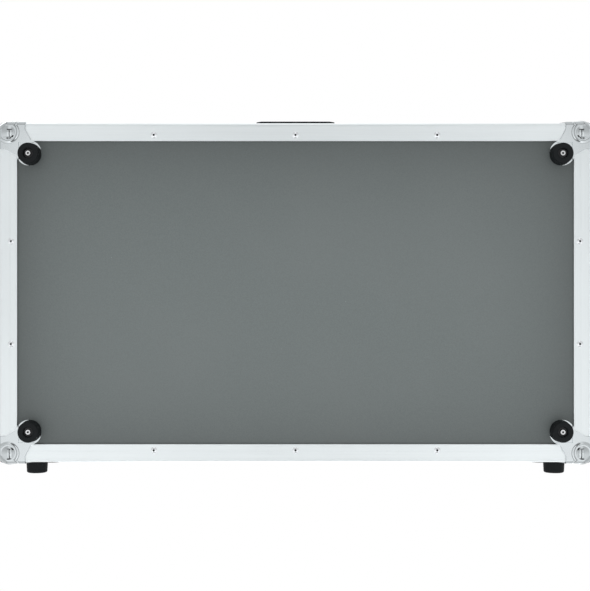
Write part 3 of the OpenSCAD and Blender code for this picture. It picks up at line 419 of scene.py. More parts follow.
@dataclass(frozen=True)
class Laminate(Finish):
    """Smooth grey laminate: a faint fleck, a soft pebble, dust and light rub marks.

    The base panel's copy carries painted shade that darkens it towards the aluminium, ending in a narrow painted
    contact shadow at the lip.
    """

    name: str = "grey_laminate"
    colour: Colour = (0.134, 0.158, 0.157)
    cloud_colour: Colour = (0.144, 0.163, 0.163)
    dust_colour: Colour = (0.5, 0.52, 0.53)
    rub_colour: Colour = (0.27, 0.28, 0.28)
    roughness: float = 0.46
    edge_shade: tuple[ShadeSide, ...] = ()
    # A narrow painted contact shadow where the panel meets the aluminium lip: how dark and how far.
    contact_shadow_depth: float = 0.3
    contact_shadow_reach: float = 0.8 * MM

    def fade(self, tree: Tree, distance: NodeSocket, depth: float, reach: float) -> NodeSocket:
        """Gives a depth that decays exponentially with a distance."""
        return tree.times(tree.math("POWER", math.e, tree.times(distance, -1.0 / reach)), depth)

    def edge_shade_mask(self, tree: Tree, coords: NodeSocket) -> NodeSocket:
        """Gives what the painted shade along the panel's sides leaves of the colour.

        Args:
            tree: The material's tree.
            coords: Object coordinates.

        Returns:
            A factor from 0 to 1.
        """
        low, high = CASE.panel()
        place = tree.split(coords)
        left: Value = 1.0
        for side in self.edge_shade:
            along = place[side.axis]
            distance = tree.minus(high[side.axis], along) if side.high else tree.minus(along, low[side.axis])
            # painted shade: a broad darkening that fades away from each side, plus the narrow painted contact
            # shadow
            edge_shade = tree.plus(self.fade(tree, distance, side.depth, side.reach),
                             self.fade(tree, distance, self.contact_shadow_depth, self.contact_shadow_reach))
            left = tree.times(left, tree.minus(1.0, edge_shade, clamp=True))
        return left

    def material(self) -> Material:
        """Builds the laminate."""
        material, tree, shader, coords = self.start()
        fleck = tree.noise(coords, 900.0, detail=2.0, rough=0.6)
        cloud = tree.noise(coords, 5.0, detail=4.0, rough=0.5)
        colour = tree.mix(tree.ramp(fleck, 0.35, 0.65), shade(self.colour, 0.92), shade(self.colour, 1.08))
        colour = tree.mix(tree.ramp(cloud, 0.3, 0.7, 0.0, 0.22), colour, self.cloud_colour)
        dust = self.use(tree, "dust", {"Vector": coords, "Specks": 1.0, "Smudges": 0.5})
        colour = tree.mix(tree.times(dust["Speck"], 0.5), colour, self.dust_colour)
        colour = tree.mix(tree.times(dust["Smudge"], 0.08), colour, self.rub_colour)
        if self.edge_shade:
            # painted shade: the colour goes towards near black where the mask falls off
            colour = tree.mix(self.edge_shade_mask(tree, coords), shade(self.colour, 0.08), colour)
        rough = tree.ramp(fleck, 0.3, 0.7, self.roughness - 0.03, self.roughness + 0.03)
        self.wire(tree, shader, colour, tree.plus(rough, tree.times(dust["Smudge"], 0.08)))
        self.bump(tree, shader, tree.cells(coords, 1400.0, "SMOOTH_F1"), 0.12, 0.03 * MM)
        return material


@dataclass(frozen=True)
class Rubber(Finish):
    """Moulded black rubber with a fine spark-eroded grain and dull handling marks."""

    name: str = "black_rubber"
    colour: Colour = (0.0068, 0.0085, 0.0095)
    rub_colour: Colour = (0.03, 0.03, 0.029)
    dust_colour: Colour = (0.12, 0.12, 0.115)
    roughness: float = 0.58
    specular: float = 0.14

    def material(self) -> Material:
        """Builds the rubber."""
        material, tree, shader, coords = self.start()
        grain = tree.noise(coords, 1500.0, detail=3.0, rough=0.6)
        dust = self.use(tree, "dust", {"Vector": coords, "Specks": 0.8, "Smudges": 1.0})
        colour = tree.mix(tree.ramp(grain, 0.35, 0.7), shade(self.colour, 0.8), shade(self.colour, 1.25))
        colour = tree.mix(tree.times(dust["Smudge"], 0.1), colour, self.rub_colour)
        colour = tree.mix(tree.times(dust["Speck"], 0.3), colour, self.dust_colour)
        rough = tree.ramp(grain, 0.3, 0.7, self.roughness - 0.05, self.roughness + 0.07)
        self.wire(tree, shader, colour, tree.plus(rough, tree.times(dust["Smudge"], 0.1)))
        shader.inputs["Specular IOR Level"].default_value = self.specular
        self.bump(tree, shader, grain, 0.35, 0.06 * MM)
        return material


@dataclass(frozen=True)
class Plywood(Finish):
    """Bare birch plywood: long grain on the face and plies at the cut edges."""

    name: str = "bare_plywood"
    light: Colour = (0.62, 0.46, 0.29)
    dark: Colour = (0.42, 0.28, 0.15)
    glue: Colour = (0.25, 0.15, 0.08)

    def material(self) -> Material:
        """Builds the wood."""
        material, tree, shader, coords = self.start()
        grain = tree.stretched_noise(coords, (3.0, 60.0, 60.0), detail=5.0)
        fibre = tree.stretched_noise(coords, (20.0, 900.0, 900.0), detail=3.0)
        plies = tree.add("ShaderNodeTexWave", {"Vector": coords, "Scale": 105.0, "Distortion": 0.6,
                                               "Detail": 2.0}, bands_direction="Z").outputs["Fac"]
        upright = tree.split(tree.add("ShaderNodeNewGeometry").outputs["True Normal"])[2]
        cut_edge = tree.ramp(tree.math("ABSOLUTE", upright), 0.8, 0.4)
        colour = tree.mix(tree.ramp(grain, 0.35, 0.65), self.dark, self.light)
        colour = tree.mix(tree.ramp(fibre, 0.4, 0.7, 0.0, 0.3), colour, self.dark)
        colour = tree.mix(tree.times(cut_edge, tree.ramp(plies, 0.4, 0.6, 0.0, 0.6)), colour, self.glue)
        self.wire(tree, shader, colour, tree.ramp(fibre, 0.3, 0.7, 0.55, 0.72))
        self.bump(tree, shader, fibre, 0.3, 0.1 * MM)
        return material


@dataclass(frozen=True)
class Pile(Finish):
    """Looped pile of the pedal board's carpet."""

    name: str = "loop_carpet"
    colour: Colour = (0.022, 0.022, 0.024)
    sheen: float = 0.25

    def material(self) -> Material:
        """Builds the carpet."""
        material, tree, shader, coords = self.start()
        loops = tree.cells(coords, 520.0)
        fuzz = tree.noise(coords, 1700.0, detail=4.0, rough=0.7)
        patch = tree.noise(coords, 14.0, detail=3.0, rough=0.5)
        colour = tree.mix(tree.ramp(loops, 0.1, 0.75), shade(self.colour, 1.9), shade(self.colour, 0.35))
        colour = tree.mix(tree.ramp(patch, 0.35, 0.7, 0.0, 0.4), colour, shade(self.colour, 1.6))
        self.wire(tree, shader, colour, tree.ramp(fuzz, 0.3, 0.7, 0.85, 1.0))
        shader.inputs["Sheen Weight"].default_value = self.sheen
        self.bump(tree, shader, tree.minus(tree.times(fuzz, 0.6), loops), 0.8, 1.2 * MM)
        return material


@dataclass(frozen=True)
class OpenCellFoam(Finish):
    """Dark open-cell foam."""

    name: str = "foam"
    colour: Colour = (0.035, 0.036, 0.040)

    def material(self) -> Material:
        """Builds the foam."""
        material, tree, shader, coords = self.start()
        cells = tree.cells(coords, 1100.0)
        fine = tree.noise(coords, 2400.0, detail=2.0, rough=0.6)
        patch = tree.noise(coords, 9.0, detail=3.0, rough=0.5)
        colour = tree.mix(tree.ramp(cells, 0.15, 0.8), shade(self.colour, 0.5), shade(self.colour, 1.5))
        colour = tree.mix(tree.ramp(patch, 0.3, 0.7, 0.0, 0.35), colour, shade(self.colour, 1.7))
        self.wire(tree, shader, colour, tree.ramp(fine, 0.3, 0.7, 0.88, 1.0))
        self.bump(tree, shader, tree.plus(cells, tree.times(fine, 0.4)), 0.6, 0.6 * MM)
        return material


# ------ meshes


@dataclass(frozen=True)
class CaseBox:
    """Main sizes of the case, read from the frame."""

    low: Vector
    high: Vector

    def middle(self) -> Vector:
        """The middle of the case's outer box."""
        return (self.low + self.high) / 2

    def half(self) -> Vector:
        """Half of the outer box."""
        return (self.high - self.low) / 2

    def panel(self) -> tuple[Vector, Vector]:
        """The corners of the base panel's open field, inside the aluminium."""
        edge_low, edge_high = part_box("base_long_edges")
        leg = edge_high.z - edge_low.z
        inset = Vector((leg, leg, 0.0))
        return self.low + inset, self.high - inset


def case_box() -> CaseBox:
    """Reads the box of the aluminium edges.

    Returns:
        The lowest and highest corners over base and lid.
    """
    low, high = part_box("base_corner_posts")
    return CaseBox(Vector((low.x, low.y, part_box("base_long_edges")[0].z)),
                   Vector((high.x, high.y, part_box("lid_long_edges")[1].z)))


CASE = case_box()
HEAD_ZONE = 1.6 * MM


def new_object(name: str, mesh: Mesh, material: Material) -> Piece:
    """Puts a mesh in the scene with one material."""
    mesh.materials.clear()
    mesh.materials.append(material)
    piece = bpy.data.objects.new(name, mesh)
    bpy.context.scene.collection.objects.link(piece)
    return piece


def mesh_from(name: str, build: Callable[[BMesh], None], smooth: bool = True) -> Mesh:
    """Builds a mesh with outward faces.

    Args:
        name: The mesh's name.
        build: Fills the bmesh.
        smooth: Whether its faces are shaded smooth.

    Returns:
        The mesh.
    """
    work = bmesh.new()
    build(work)
    bmesh.ops.remove_doubles(work, verts=work.verts, dist=1e-6)
    bmesh.ops.recalc_face_normals(work, faces=work.faces)
    for face in work.faces:
        face.smooth = smooth
    mesh = bpy.data.meshes.new(name)
    work.to_mesh(mesh)
    work.free()
    return mesh


def fill_block(work: BMesh, low: Vector, high: Vector, step: float, back: float,
               height: Callable[[float, float, float], float]) -> None:
    """Fills a mesh with a closed block: one uneven face on a grid, upright sides and a flat back.

    Args:
        work: The mesh.
        low: The lowest corner of the block.
        high: Its highest corner.
        step: The grid's pitch.
        back: Where the flat back lies along Z.
        height: Gives the uneven face along Z from X, Y and the distance to the nearest side.
    """
    nx, ny = (round((high[axis] - low[axis]) / step) for axis in (0, 1))
    xs = [low.x + (high.x - low.x) * i / nx for i in range(nx + 1)]
    ys = [low.y + (high.y - low.y) * j / ny for j in range(ny + 1)]
    grid = [[work.verts.new((x, y, height(x, y, min(x - low.x, high.x - x, y - low.y, high.y - y))))
             for y in ys] for x in xs]
    for row, following in zip(grid, grid[1:]):
        for j in range(ny):
            work.faces.new((row[j], following[j], following[j + 1], row[j + 1]))
    rim = ([grid[i][0] for i in range(nx)] + [grid[nx][j] for j in range(ny)]
           + [grid[i][ny] for i in range(nx, 0, -1)] + [grid[0][j] for j in range(ny, 0, -1)])
    ring = [work.verts.new((vertex.co.x, vertex.co.y, back)) for vertex in rim]
    for k in range(len(rim)):
        n = (k + 1) % len(rim)
        work.faces.new((rim[k], rim[n], ring[n], ring[k]))
    work.faces.new(ring)


def islands(node: str) -> list[list[Vector]]:
    """Splits a CAD node into its solids.

    Args:
        node: The node's name.

    Returns:
        The corner points of each solid.
    """
    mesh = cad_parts[node].data
    parent: dict[tuple, tuple] = {}

    def root(key: tuple) -> tuple:
        """Finds the point that stands for a point's solid."""
        while parent[key] != key:
            parent[key] = parent[parent[key]]
            key = parent[key]
        return key

    keys = [tuple(round(c, 6) for c in v.co) for v in mesh.vertices]
    for key in keys:
        parent.setdefault(key, key)
    for polygon in mesh.polygons:
        first = root(keys[polygon.vertices[0]])
        for index in polygon.vertices[1:]:
            parent[root(keys[index])] = first
    groups: dict[tuple, list[Vector]] = {}
    for key in sorted(parent):
        groups.setdefault(root(key), []).append(Vector(key))
    return [groups[key] for key in sorted(groups)]


def head_of(points: list[Vector]) -> Spot:
    """Finds the head of a rivet or screw.

    Args:
        points: The corner points of one fastener.

    Returns:
        The middle of the head's outer end and the outward direction.
    """
    low = Vector([min(p[i] for p in points) for i in range(3)])
    high = Vector([max(p[i] for p in points) for i in range(3)])
    size = high - low
    axis = max(range(3), key=lambda i: size[i])
    side = (axis + 1) % 3

    def spread(some: list[Vector]) -> float:
        """Measures points across the axis."""
        return max(p[side] for p in some) - min(p[side] for p in some)

    near = spread([p for p in points if p[axis] < low[axis] + HEAD_ZONE])
    far = spread([p for p in points if p[axis] > high[axis] - HEAD_ZONE])
    middle = (low + high) / 2
    outward = Vector((0.0, 0.0, 0.0))
    middle[axis], outward[axis] = (low[axis], -1.0) if near > far else (high[axis], 1.0)
    return middle, outward


# ------ repeated pieces by Geometry Nodes


class Scatter:
    """A Geometry Nodes tree that sets a small turned shape on each point along its aim."""

    def __init__(self, name: str) -> None:
        """Builds the tree with its named inputs."""
        group = bpy.data.node_groups.new(name, "GeometryNodeTree")
        for label, kind in (("Geometry", "Geometry"), ("Radius", "Float"), ("Length", "Float"),
                            ("Finish", "Material")):
            group.interface.new_socket(name=label, in_out="INPUT", socket_type="NodeSocket" + kind)
        group.interface.new_socket(name="Geometry", in_out="OUTPUT", socket_type="NodeSocketGeometry")
        tree = Tree(group)
        source = group.nodes.new("NodeGroupInput").outputs
        sink = group.nodes.new("NodeGroupOutput")
        stub_and_shade = tree.add("GeometryNodeMeshCylinder", {"Vertices": 16, "Side Segments": 1, "Fill Segments": 1,
                                                     "Radius": source["Radius"], "Depth": source["Length"]})
        tip = tree.add("GeometryNodeMeshUVSphere", {"Segments": 16, "Rings": 6, "Radius": source["Radius"]})
        end = tree.add("ShaderNodeCombineXYZ", {2: tree.times(source["Length"], 0.5)})
        domed = tree.add("GeometryNodeTransform", {"Geometry": tip.outputs[0], "Translation": end.outputs[0],
                                                   "Scale": (0.98, 0.98, 0.4)})
        joined = tree.add("GeometryNodeJoinGeometry")
        tree.link(stub_and_shade.outputs[0], joined.inputs[0])
        tree.link(domed.outputs[0], joined.inputs[0])
        aim = tree.add("GeometryNodeInputNamedAttribute", {"Name": "aim"}, data_type="FLOAT_VECTOR")
        turn = tree.add("FunctionNodeAlignRotationToVector", {"Vector": aim.outputs[0]}, axis="Z")
        placed = tree.add("GeometryNodeInstanceOnPoints", {"Points": source["Geometry"],
                                                           "Instance": joined.outputs[0],
                                                           "Rotation": turn.outputs[0]})
        real = tree.add("GeometryNodeRealizeInstances", {"Geometry": placed.outputs[0]})
        smooth = tree.add("GeometryNodeSetShadeSmooth", {"Geometry": real.outputs[0]})
        dressed = tree.add("GeometryNodeSetMaterial", {"Geometry": smooth.outputs[0],
                                                       "Material": source["Finish"]})
        tree.link(dressed.outputs[0], sink.inputs[0])
        self.group = group

    def grow(self, name: str, spots: Iterable[Spot], radius: float, length: float, finish: Material) -> Piece:
        """Runs the tree on a set of spots and keeps the result as a plain mesh.

        Args:
            name: The piece's name.
            spots: Place and direction of each copy.
            radius: Radius of one copy.
            length: Its length.
            finish: Its material.

        Returns:
            The finished piece.
        """
        spots = list(spots)
        points = bpy.data.meshes.new(name + "_points")
        points.from_pydata([tuple(place) for place, _ in spots], [], [])
        aim = points.attributes.new("aim", "FLOAT_VECTOR", "POINT")
        for index, (_, direction) in enumerate(spots):
            aim.data[index].vector = direction
        holder = bpy.data.objects.new(name + "_holder", points)
        bpy.context.scene.collection.objects.link(holder)
        modifier = holder.modifiers.new("copies", "NODES")
        modifier.node_group = self.group
        values = {"Radius": radius, "Length": length, "Finish": finish}
        for item in self.group.interface.items_tree:
            if item.in_out == "INPUT" and item.name in values:
                modifier[item.identifier] = values[item.name]
        bpy.context.view_layer.update()
        graph = bpy.context.evaluated_depsgraph_get()
        mesh = bpy.data.meshes.new_from_object(holder.evaluated_get(graph), depsgraph=graph)
        holder.modifiers.clear()
        bpy.data.objects.remove(holder)
        bpy.data.meshes.remove(points)
        mesh.name = name
        return new_object(name, mesh, finish)


# ------ sub-assemblies


@dataclass(frozen=True)
class Filling:
    """What lies in the hollow of each fastener: its size, its depth and the slot of its finish."""

    ending: str
    slot: str
    radius: float
    sunk: float
    nodes: dict[Body, tuple[str, ...]]
    length: float = 1.0 * MM


# The mandrel stubs are real; their near-black finish is also painted shade for the dark hole in each rivet.
MANDREL_STUBS = Filling("mandrels", "rivet_steel", 1.28 * MM, 1.15 * MM, {
    Body.BASE: ("base_edge_rivets", "base_corner_rivets", "handle_rivets", "latch_rivets",
                "hinge_base_rivets"),
    Body.LID: ("lid_edge_rivets", "lid_corner_rivets", "keeper_rivets", "hinge_lid_rivets")})
# Painted shade: a near-black disc sunk in each screw socket, where only shade falls.
SOCKET_SHADE_DISCS = Filling("socket_shade_discs", "screw_steel", 1.6 * MM, 0.8 * MM, {
    Body.BASE: ("base_foot_screws",), Body.LID: ("lid_foot_screws",)})


class Shell:
    """The CAD nodes of both halves, and what lies in their rivets and screws."""

    def dress(self, finishes: dict[str, Material]) -> None:
        """Gives every CAD node its finish."""
        for name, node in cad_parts.items():
            node.data.materials.clear()
            node.data.materials.append(finishes[finish_for(name)])

    def fill(self, filling: Filling, finish: Material) -> None:
        """Sets one filling in every fastener of its nodes, as one piece for each body.

        Args:
            filling: What is set there.
            finish: Its material.
        """
        scatter = Scatter(filling.ending)
        depth = filling.sunk + filling.length / 2
        for body, nodes in filling.nodes.items():
            heads = [head_of(points) for node in nodes for points in islands(node)]
            spots = [(place - outward * depth, outward) for place, outward in heads]
            piece = scatter.grow(f"{body.value}_{filling.ending}", spots, filling.radius, filling.length,
                                 finish)
            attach(piece, body.value)
            log.info("%s: %d copies", piece.name, len(spots))


def finish_for(node: str) -> str:
    """Names the finish of a CAD node.

    Args:
        node: The node's name.

    Returns:
        The finish's name.
    """
    # The base panel's laminate carries painted shade towards its sides.
    exact = {"base_panel": "laminate_shaded", "lid_panel": "laminate", "board_battens": "plywood",
             "pedal_board": "plywood", "board_carpet": "pile", "lid_foam": "foam", "handle_grip": "rubber"}
    if node in exact:
        return exact[node]
    endings = {"_wall": "laminate", "long_edges": "edge_x", "short_edges": "edge_y_shaded", "_posts": "edge_z",
               "_rim": "edge_x", "ball_corners": "corner", "_feet": "rubber", "washers": "black_steel",
               "screws": "screw", "rivets": "rivet"}
    return next((finish for ending, finish in endings.items() if node.endswith(ending)), "zinc")


@dataclass
class LidFoam:
    """The convoluted foam pad in the lid."""

    pitch: float = 24 * MM
    relief: float = 4.5 * MM
    step: float = 3.0 * MM
    play: float = 0.4 * MM
    rounding: float = 2.5 * MM
    rounded_edge: float = 4 * MM
    flat_edge: float = 9 * MM
    wobble: float = 0.25 * MM

    def build(self, finish: Material) -> Piece:
        """Builds the pad as a closed block with an egg-crate face.

        Args:
            finish: The foam.

        Returns:
            The pad.
        """
        low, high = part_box("lid_foam")
        low, high = low + Vector((self.play,) * 3), high - Vector((self.play, self.play, 0.0))

        def face(x: float, y: float, edge: float) -> float:
            """Gives the height of the egg-crate face, which levels out towards the pad's sides."""
            rounded = self.rounding * max(0.0, 1 - edge / self.rounded_edge) ** 2
            wave = math.cos(2 * math.pi * x / self.pitch) * math.cos(2 * math.pi * y / self.pitch)
            uneven = self.wobble * noise.noise(Vector((x, y, 0.3)) * 60)
            egg_crate = self.relief * (0.5 - 0.5 * wave) * min(1.0, edge / self.flat_edge)
            return low.z + self.play + egg_crate + rounded + uneven

        mesh = mesh_from("foam_pad", lambda work: fill_block(work, low, high, self.step, high.z, face))
        pad = new_object("foam_pad", mesh, finish)
        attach(pad, Body.LID.value)
        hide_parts("lid_foam")
        log.info("foam_pad: %d faces", len(mesh.polygons))
        return pad


@dataclass
class BoardCarpet:
    """The looped carpet on the pedal board."""

    step: float = 2.6 * MM
    pile: float = 0.9 * MM
    tuft_share: float = 0.7
    rounding: float = 1.6 * MM
    rounded_edge: float = 3 * MM

    def build(self, finish: Material) -> Piece:
        """Builds the carpet as a closed sheet with an uneven pile.

        Args:
            finish: The pile.

        Returns:
            The carpet.
        """
        low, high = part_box("board_carpet")

        def face(x: float, y: float, edge: float) -> float:
            """Gives the height of the pile, which falls off at the carpet's cut edge."""
            tuft = 0.5 + 0.5 * noise.noise(Vector((x, y, 0.0)) * 420)
            sweep = 0.5 + 0.5 * noise.noise(Vector((x, y, 2.0)) * 18)
            rounded = self.rounding * max(0.0, 1 - edge / self.rounded_edge) ** 2
            return high.z - self.pile * (self.tuft_share * tuft + (1 - self.tuft_share) * sweep) - rounded

        mesh = mesh_from("board_pile", lambda work: fill_block(work, low, high, self.step, low.z, face))
        carpet = new_object("board_pile", mesh, finish)
        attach(carpet, Body.BASE.value)
        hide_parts("board_carpet")
        log.info("board_pile: %d faces", len(mesh.polygons))
        return carpet


@dataclass
class Grip:
    """The handle's rubber grip: a rounded bar with moulded ribs towards the wall."""

    rings: int = 96
    around: int = 48
    crowded: float = 0.06
    end_round: float = 5.0 * MM
    end_y: float = 0.34
    end_z: float = 0.3
    square_y: float = 0.62
    square_z: float = 0.55
    ribs: int = 17
    rib_depth: float = 0.55 * MM
    ribless_end: float = 9 * MM
    flattened: float = 0.1 * MM

    def build(self, finish: Material) -> Piece:
        """Builds the grip.

        Args:
            finish: The rubber.

        Returns:
            The grip.
        """
        low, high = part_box("handle_grip")
        middle = (low + high) / 2
        half = (high - low) / 2

        def fill(work: BMesh) -> None:
            """Lays the rings along the bar and closes its ends."""
            rows = []
            for i in range(self.rings + 1):
                t = i / self.rings
                if t < self.crowded or t > 1 - self.crowded:
                    t = 0.5 - 0.5 * math.cos(math.pi * t)
                x = -half.x + 2 * half.x * t
                into_end = max(0.0, 1 - (half.x - abs(x)) / self.end_round)
                closed = 1 - math.sqrt(max(0.0, 1 - into_end ** 2))
                rib = 0.0
                if abs(x) < half.x - self.ribless_end:
                    rib = self.rib_depth * (0.5 - 0.5 * math.cos(2 * math.pi * self.ribs * (x / (2 * half.x))))
                row = []
                for k in range(self.around):
                    angle = 2 * math.pi * k / self.around
                    c, s = math.cos(angle), math.sin(angle)
                    y = half.y * math.copysign(abs(c) ** self.square_y, c)
                    z = half.z * math.copysign(abs(s) ** self.square_z, s)
                    y -= (rib if c > 0 else self.flattened) * c
                    row.append(work.verts.new((middle.x + x, middle.y + y * (1 - self.end_y * closed),
                                               middle.z + z * (1 - self.end_z * closed))))
                rows.append(row)
            for row, following in zip(rows, rows[1:]):
                for k in range(self.around):
                    n = (k + 1) % self.around
                    work.faces.new((row[k], row[n], following[n], following[k]))
            work.faces.new(rows[0])
            work.faces.new(rows[-1])

        mesh = mesh_from("grip_cover", fill)
        grip = new_object("grip_cover", mesh, finish)
        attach(grip, Body.HANDLE.value)
        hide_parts("handle_grip")
        log.info("grip_cover: %d faces", len(mesh.polygons))
        return grip


# ------ stage


@dataclass(frozen=True)
class Lamp:
    """A soft round lamp: its name, place, diameter and power in watts."""

    name: str
    place: tuple[float, float, float]
    size: float
    power: float

    def hang(self) -> None:
        """Hangs the lamp and points it at the case."""
        data = bpy.data.lights.new(self.name, "AREA")
        data.shape = "DISK"
        data.size = self.size
        data.energy = self.power
        lamp = bpy.data.objects.new(self.name, data)
        lamp.location = self.place
        aim = Vector((0, 0, 0.09)) - Vector(self.place)
        lamp.rotation_euler = aim.to_track_quat("-Z", "Y").to_euler()
        lamp.visible_camera = False
        bpy.context.scene.collection.objects.link(lamp)


@dataclass
class Studio:
    """Floor, world, lamps and camera. Places in the world are parts of a direction, from -1 to 1."""

    eye: tuple[float, float, float] = (-0.0006, -0.0015, -1.596)
    lens: float = 81.05
    sensor: float = 36.0
    floor_z: float = -0.0006
    floor_r: float = 7.0
    floor_near: float = 1.3
    floor_far: float = 4.5
    glow: float = 0.97
    glow_above: float = 0.88
    glow_level: float = 0.84
    lean: float = 0.18
    lean_reach: float = 0.45
    strip_glow: float = 1.5
    strip: Span = (0.08, 0.3)
    gap_depth: float = 0.9
    gap_side: Span = (0.12, 0.07)
    gap_near: Span = (-0.52, -0.44)
    gap_far: Span = (0.9, 0.82)
    bar_side: Span = (0.42, 0.3)
    far_bar: tuple[Span, Span] = ((0.74, 0.8), (0.93, 0.86))
    near_bar: tuple[Span, Span] = ((-0.62, -0.56), (-0.42, -0.48))
    lamps: tuple[Lamp, ...] = (
        Lamp("below_soft", (0.0, 0.35, -2.3), 2.4, 2.0), Lamp("above_key", (-1.4, -1.7, 2.2), 1.4, 12.0),
        Lamp("above_fill", (1.9, -0.6, 1.6), 1.6, 7.0), Lamp("behind", (0.2, 2.2, 1.6), 1.4, 7.0))

    def glow_field(self, tree: Tree, direction: Sockets) -> NodeSocket:
        """Gives the light: below the case brighter towards +Y, and everywhere where X is near 0.

        Args:
            tree: The world's tree.
            direction: The three parts of the direction.

        Returns:
            The strength.
        """
        x, y, z = direction
        leaning = tree.ramp(y, -self.lean_reach, self.lean_reach, self.glow - self.lean,
                            self.glow + self.lean)
        leaning = tree.choose(tree.ramp(z, 0.05, -0.2), self.glow_above, leaning)
        level = tree.ramp(tree.math("ABSOLUTE", z), 0.0, 0.5, self.glow_level, 1.0)
        strip = tree.ramp(tree.math("ABSOLUTE", x), *self.strip, self.strip_glow, 1.0)
        return tree.times(leaning, level, strip)

    def gap_field(self, tree: Tree, direction: Sockets) -> NodeSocket:
        """Gives the dark gap between the soft boxes below the case, with a bar at either end.

        Args:
            tree: The world's tree.
            direction: The three parts of the direction.

        Returns:
            How dark it is, from 0 to 1.
        """
        x, y, z = direction
        side = tree.math("ABSOLUTE", x)
        gap = tree.times(tree.ramp(side, *self.gap_side), tree.band(y, self.gap_near, self.gap_far))
        bars = tree.math("MAXIMUM", tree.band(y, *self.far_bar), tree.band(y, *self.near_bar))
        bars = tree.times(bars, tree.ramp(side, *self.bar_side))
        return tree.times(tree.math("MAXIMUM", gap, bars), tree.ramp(z, -0.1, -0.25), self.gap_depth)

    def world(self) -> None:
        """Makes the surroundings: white to the camera, soft light, and a gap in it that metal mirrors."""
        world = bpy.data.worlds.new("studio")
        bpy.context.scene.world = world
        world.use_nodes = True
        tree = Tree(world.node_tree)
        tree.tree.nodes.clear()
        direction = tree.split(tree.add("ShaderNodeTexCoord").outputs["Generated"])
        soft = self.glow_field(tree, direction)
        glossy = tree.times(soft, tree.minus(1.0, self.gap_field(tree, direction)))
        path = tree.add("ShaderNodeLightPath").outputs
        seen = tree.math("MAXIMUM", path["Is Camera Ray"], path["Is Transmission Ray"])
        strength = tree.choose(seen, tree.choose(path["Is Glossy Ray"], soft, glossy), 1.0)
        background = tree.add("ShaderNodeBackground", {"Color": (1.0, 1.0, 1.0, 1.0), "Strength": strength})
        tree.link(background.outputs[0], tree.add("ShaderNodeOutputWorld").inputs[0])

    def floor(self) -> None:
        """Lays a pale floor that is seen from above only and lets light through to the underside."""
        material = bpy.data.materials.new("floor_paint")
        material.use_nodes = True
        tree = Tree(material.node_tree)
        tree.tree.nodes.clear()
        coords = tree.add("ShaderNodeTexCoord").outputs["Object"]
        paint = tree.mix(tree.ramp(tree.noise(coords, 3.0), 0.3, 0.7), (0.86, 0.86, 0.86), (0.9, 0.9, 0.9))
        matt = tree.add("ShaderNodeBsdfDiffuse", {"Color": paint})
        clear = tree.add("ShaderNodeBsdfTransparent")
        camera_ray = tree.add("ShaderNodeLightPath").outputs["Is Camera Ray"]
        front = tree.minus(1.0, tree.add("ShaderNodeNewGeometry").outputs["Backfacing"])
        away = tree.vector("LENGTH", coords, output="Value")
        near = tree.ramp(away, self.floor_near, self.floor_far, 1.0, 0.0)
        mixed = tree.add("ShaderNodeMixShader", {0: tree.times(front, camera_ray, near), 1: clear.outputs[0],
                                                 2: matt.outputs[0]})
        tree.link(mixed.outputs[0], tree.add("ShaderNodeOutputMaterial").inputs[0])

        def fill(work: BMesh) -> None:
            """Draws the round floor."""
            bmesh.ops.create_circle(work, cap_ends=True, segments=96, radius=self.floor_r,
                                    matrix=Matrix.Translation((0, 0, self.floor_z)))

        mesh = mesh_from("floor", fill, smooth=False)
        if mesh.polygons[0].normal.z < 0:
            mesh.flip_normals()
        new_object("floor", mesh, material)

    def camera(self) -> None:
        """Places the camera straight below the case."""
        data = bpy.data.cameras.new("photo_camera")
        data.sensor_fit = "HORIZONTAL"
        data.sensor_width = self.sensor
        data.lens = self.lens
        data.clip_start = 0.01
        data.clip_end = 60.0
        camera = bpy.data.objects.new("photo_camera", data)
        camera.location = self.eye
        camera.rotation_euler = (math.pi, 0.0, 0.0)
        bpy.context.scene.collection.objects.link(camera)
        bpy.context.scene.camera = camera

    def build(self) -> None:
        """Builds the whole stage."""
        self.world()
        self.floor()
        for lamp in self.lamps:
            lamp.hang()
        self.camera()
        bpy.context.scene.view_settings.view_transform = "Standard"


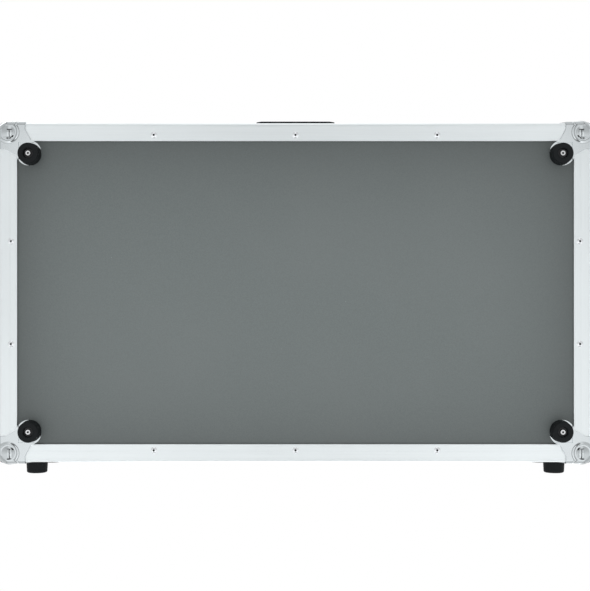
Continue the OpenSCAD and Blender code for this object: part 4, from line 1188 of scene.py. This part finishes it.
def finishes() -> dict[str, Material]:
    """Builds every finish.

    Returns:
        The materials by short name.
    """
    aluminium = (0.835, 0.885, 0.90)
    # Painted shade along the base panel's four sides, fading inwards from the aluminium.
    edge_shade = (ShadeSide(axis=0, high=False, depth=0.40, reach=38 * MM),
            ShadeSide(axis=0, high=True, depth=0.38, reach=42 * MM),
            ShadeSide(axis=1, high=False, depth=0.44, reach=68 * MM),
            ShadeSide(axis=1, high=True, depth=0.33, reach=52 * MM))
    table: dict[str, Finish] = {
        "laminate": Laminate(),
        "laminate_shaded": Laminate("grey_laminate_shaded", edge_shade=edge_shade),
        "edge_x": Metal("edge_aluminium_x", aluminium, 0.34, Along.X, worn=True),
        # Painted shade: the short edges take the same aluminium darkened to 93 percent.
        "edge_y_shaded": Metal("edge_aluminium_y_shaded", shade(aluminium, 0.93), 0.34, Along.Y, worn=True),
        "edge_z": Metal("edge_aluminium_z", aluminium, 0.34, Along.Z, worn=True),
        "corner": CornerZinc("corner_zinc", (0.515, 0.548, 0.562), 0.07, grain=0.03, smudge=0.3),
        "zinc": Metal("pressed_zinc", (0.70, 0.72, 0.75), 0.24, smudge=0.6),
        "rivet": Metal("rivet_bright", (0.80, 0.83, 0.85), 0.24, grain=0.03),
        "screw": Metal("screw_zinc", (0.55, 0.56, 0.57), 0.2, grain=0.04),
        # Near-black, dull and non-metal: painted shade on the mandrel stubs and the socket discs.
        "stub_and_shade": Metal("stub_and_shade_black", (0.012, 0.012, 0.013), 0.6, grain=0.1, metallic=0.0, specular=0.1),
        "black_steel": Metal("black_washer", (0.03, 0.03, 0.032), 0.45, grain=0.1, metallic=0.6),
        "rubber": Rubber(),
        "plywood": Plywood(),
        "pile": Pile(),
        "foam": OpenCellFoam(),
    }
    return {name: finish.material() for name, finish in table.items()}


def main() -> None:
    """Builds the pieces in order and reports each."""
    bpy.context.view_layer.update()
    materials = finishes()
    shell = Shell()
    shell.dress(materials)
    shell.fill(MANDREL_STUBS, materials["stub_and_shade"])
    shell.fill(SOCKET_SHADE_DISCS, materials["stub_and_shade"])
    LidFoam().build(materials["foam"])
    BoardCarpet().build(materials["pile"])
    Grip().build(materials["rubber"])
    Studio().build()


if __name__ == "__main__":
    main()
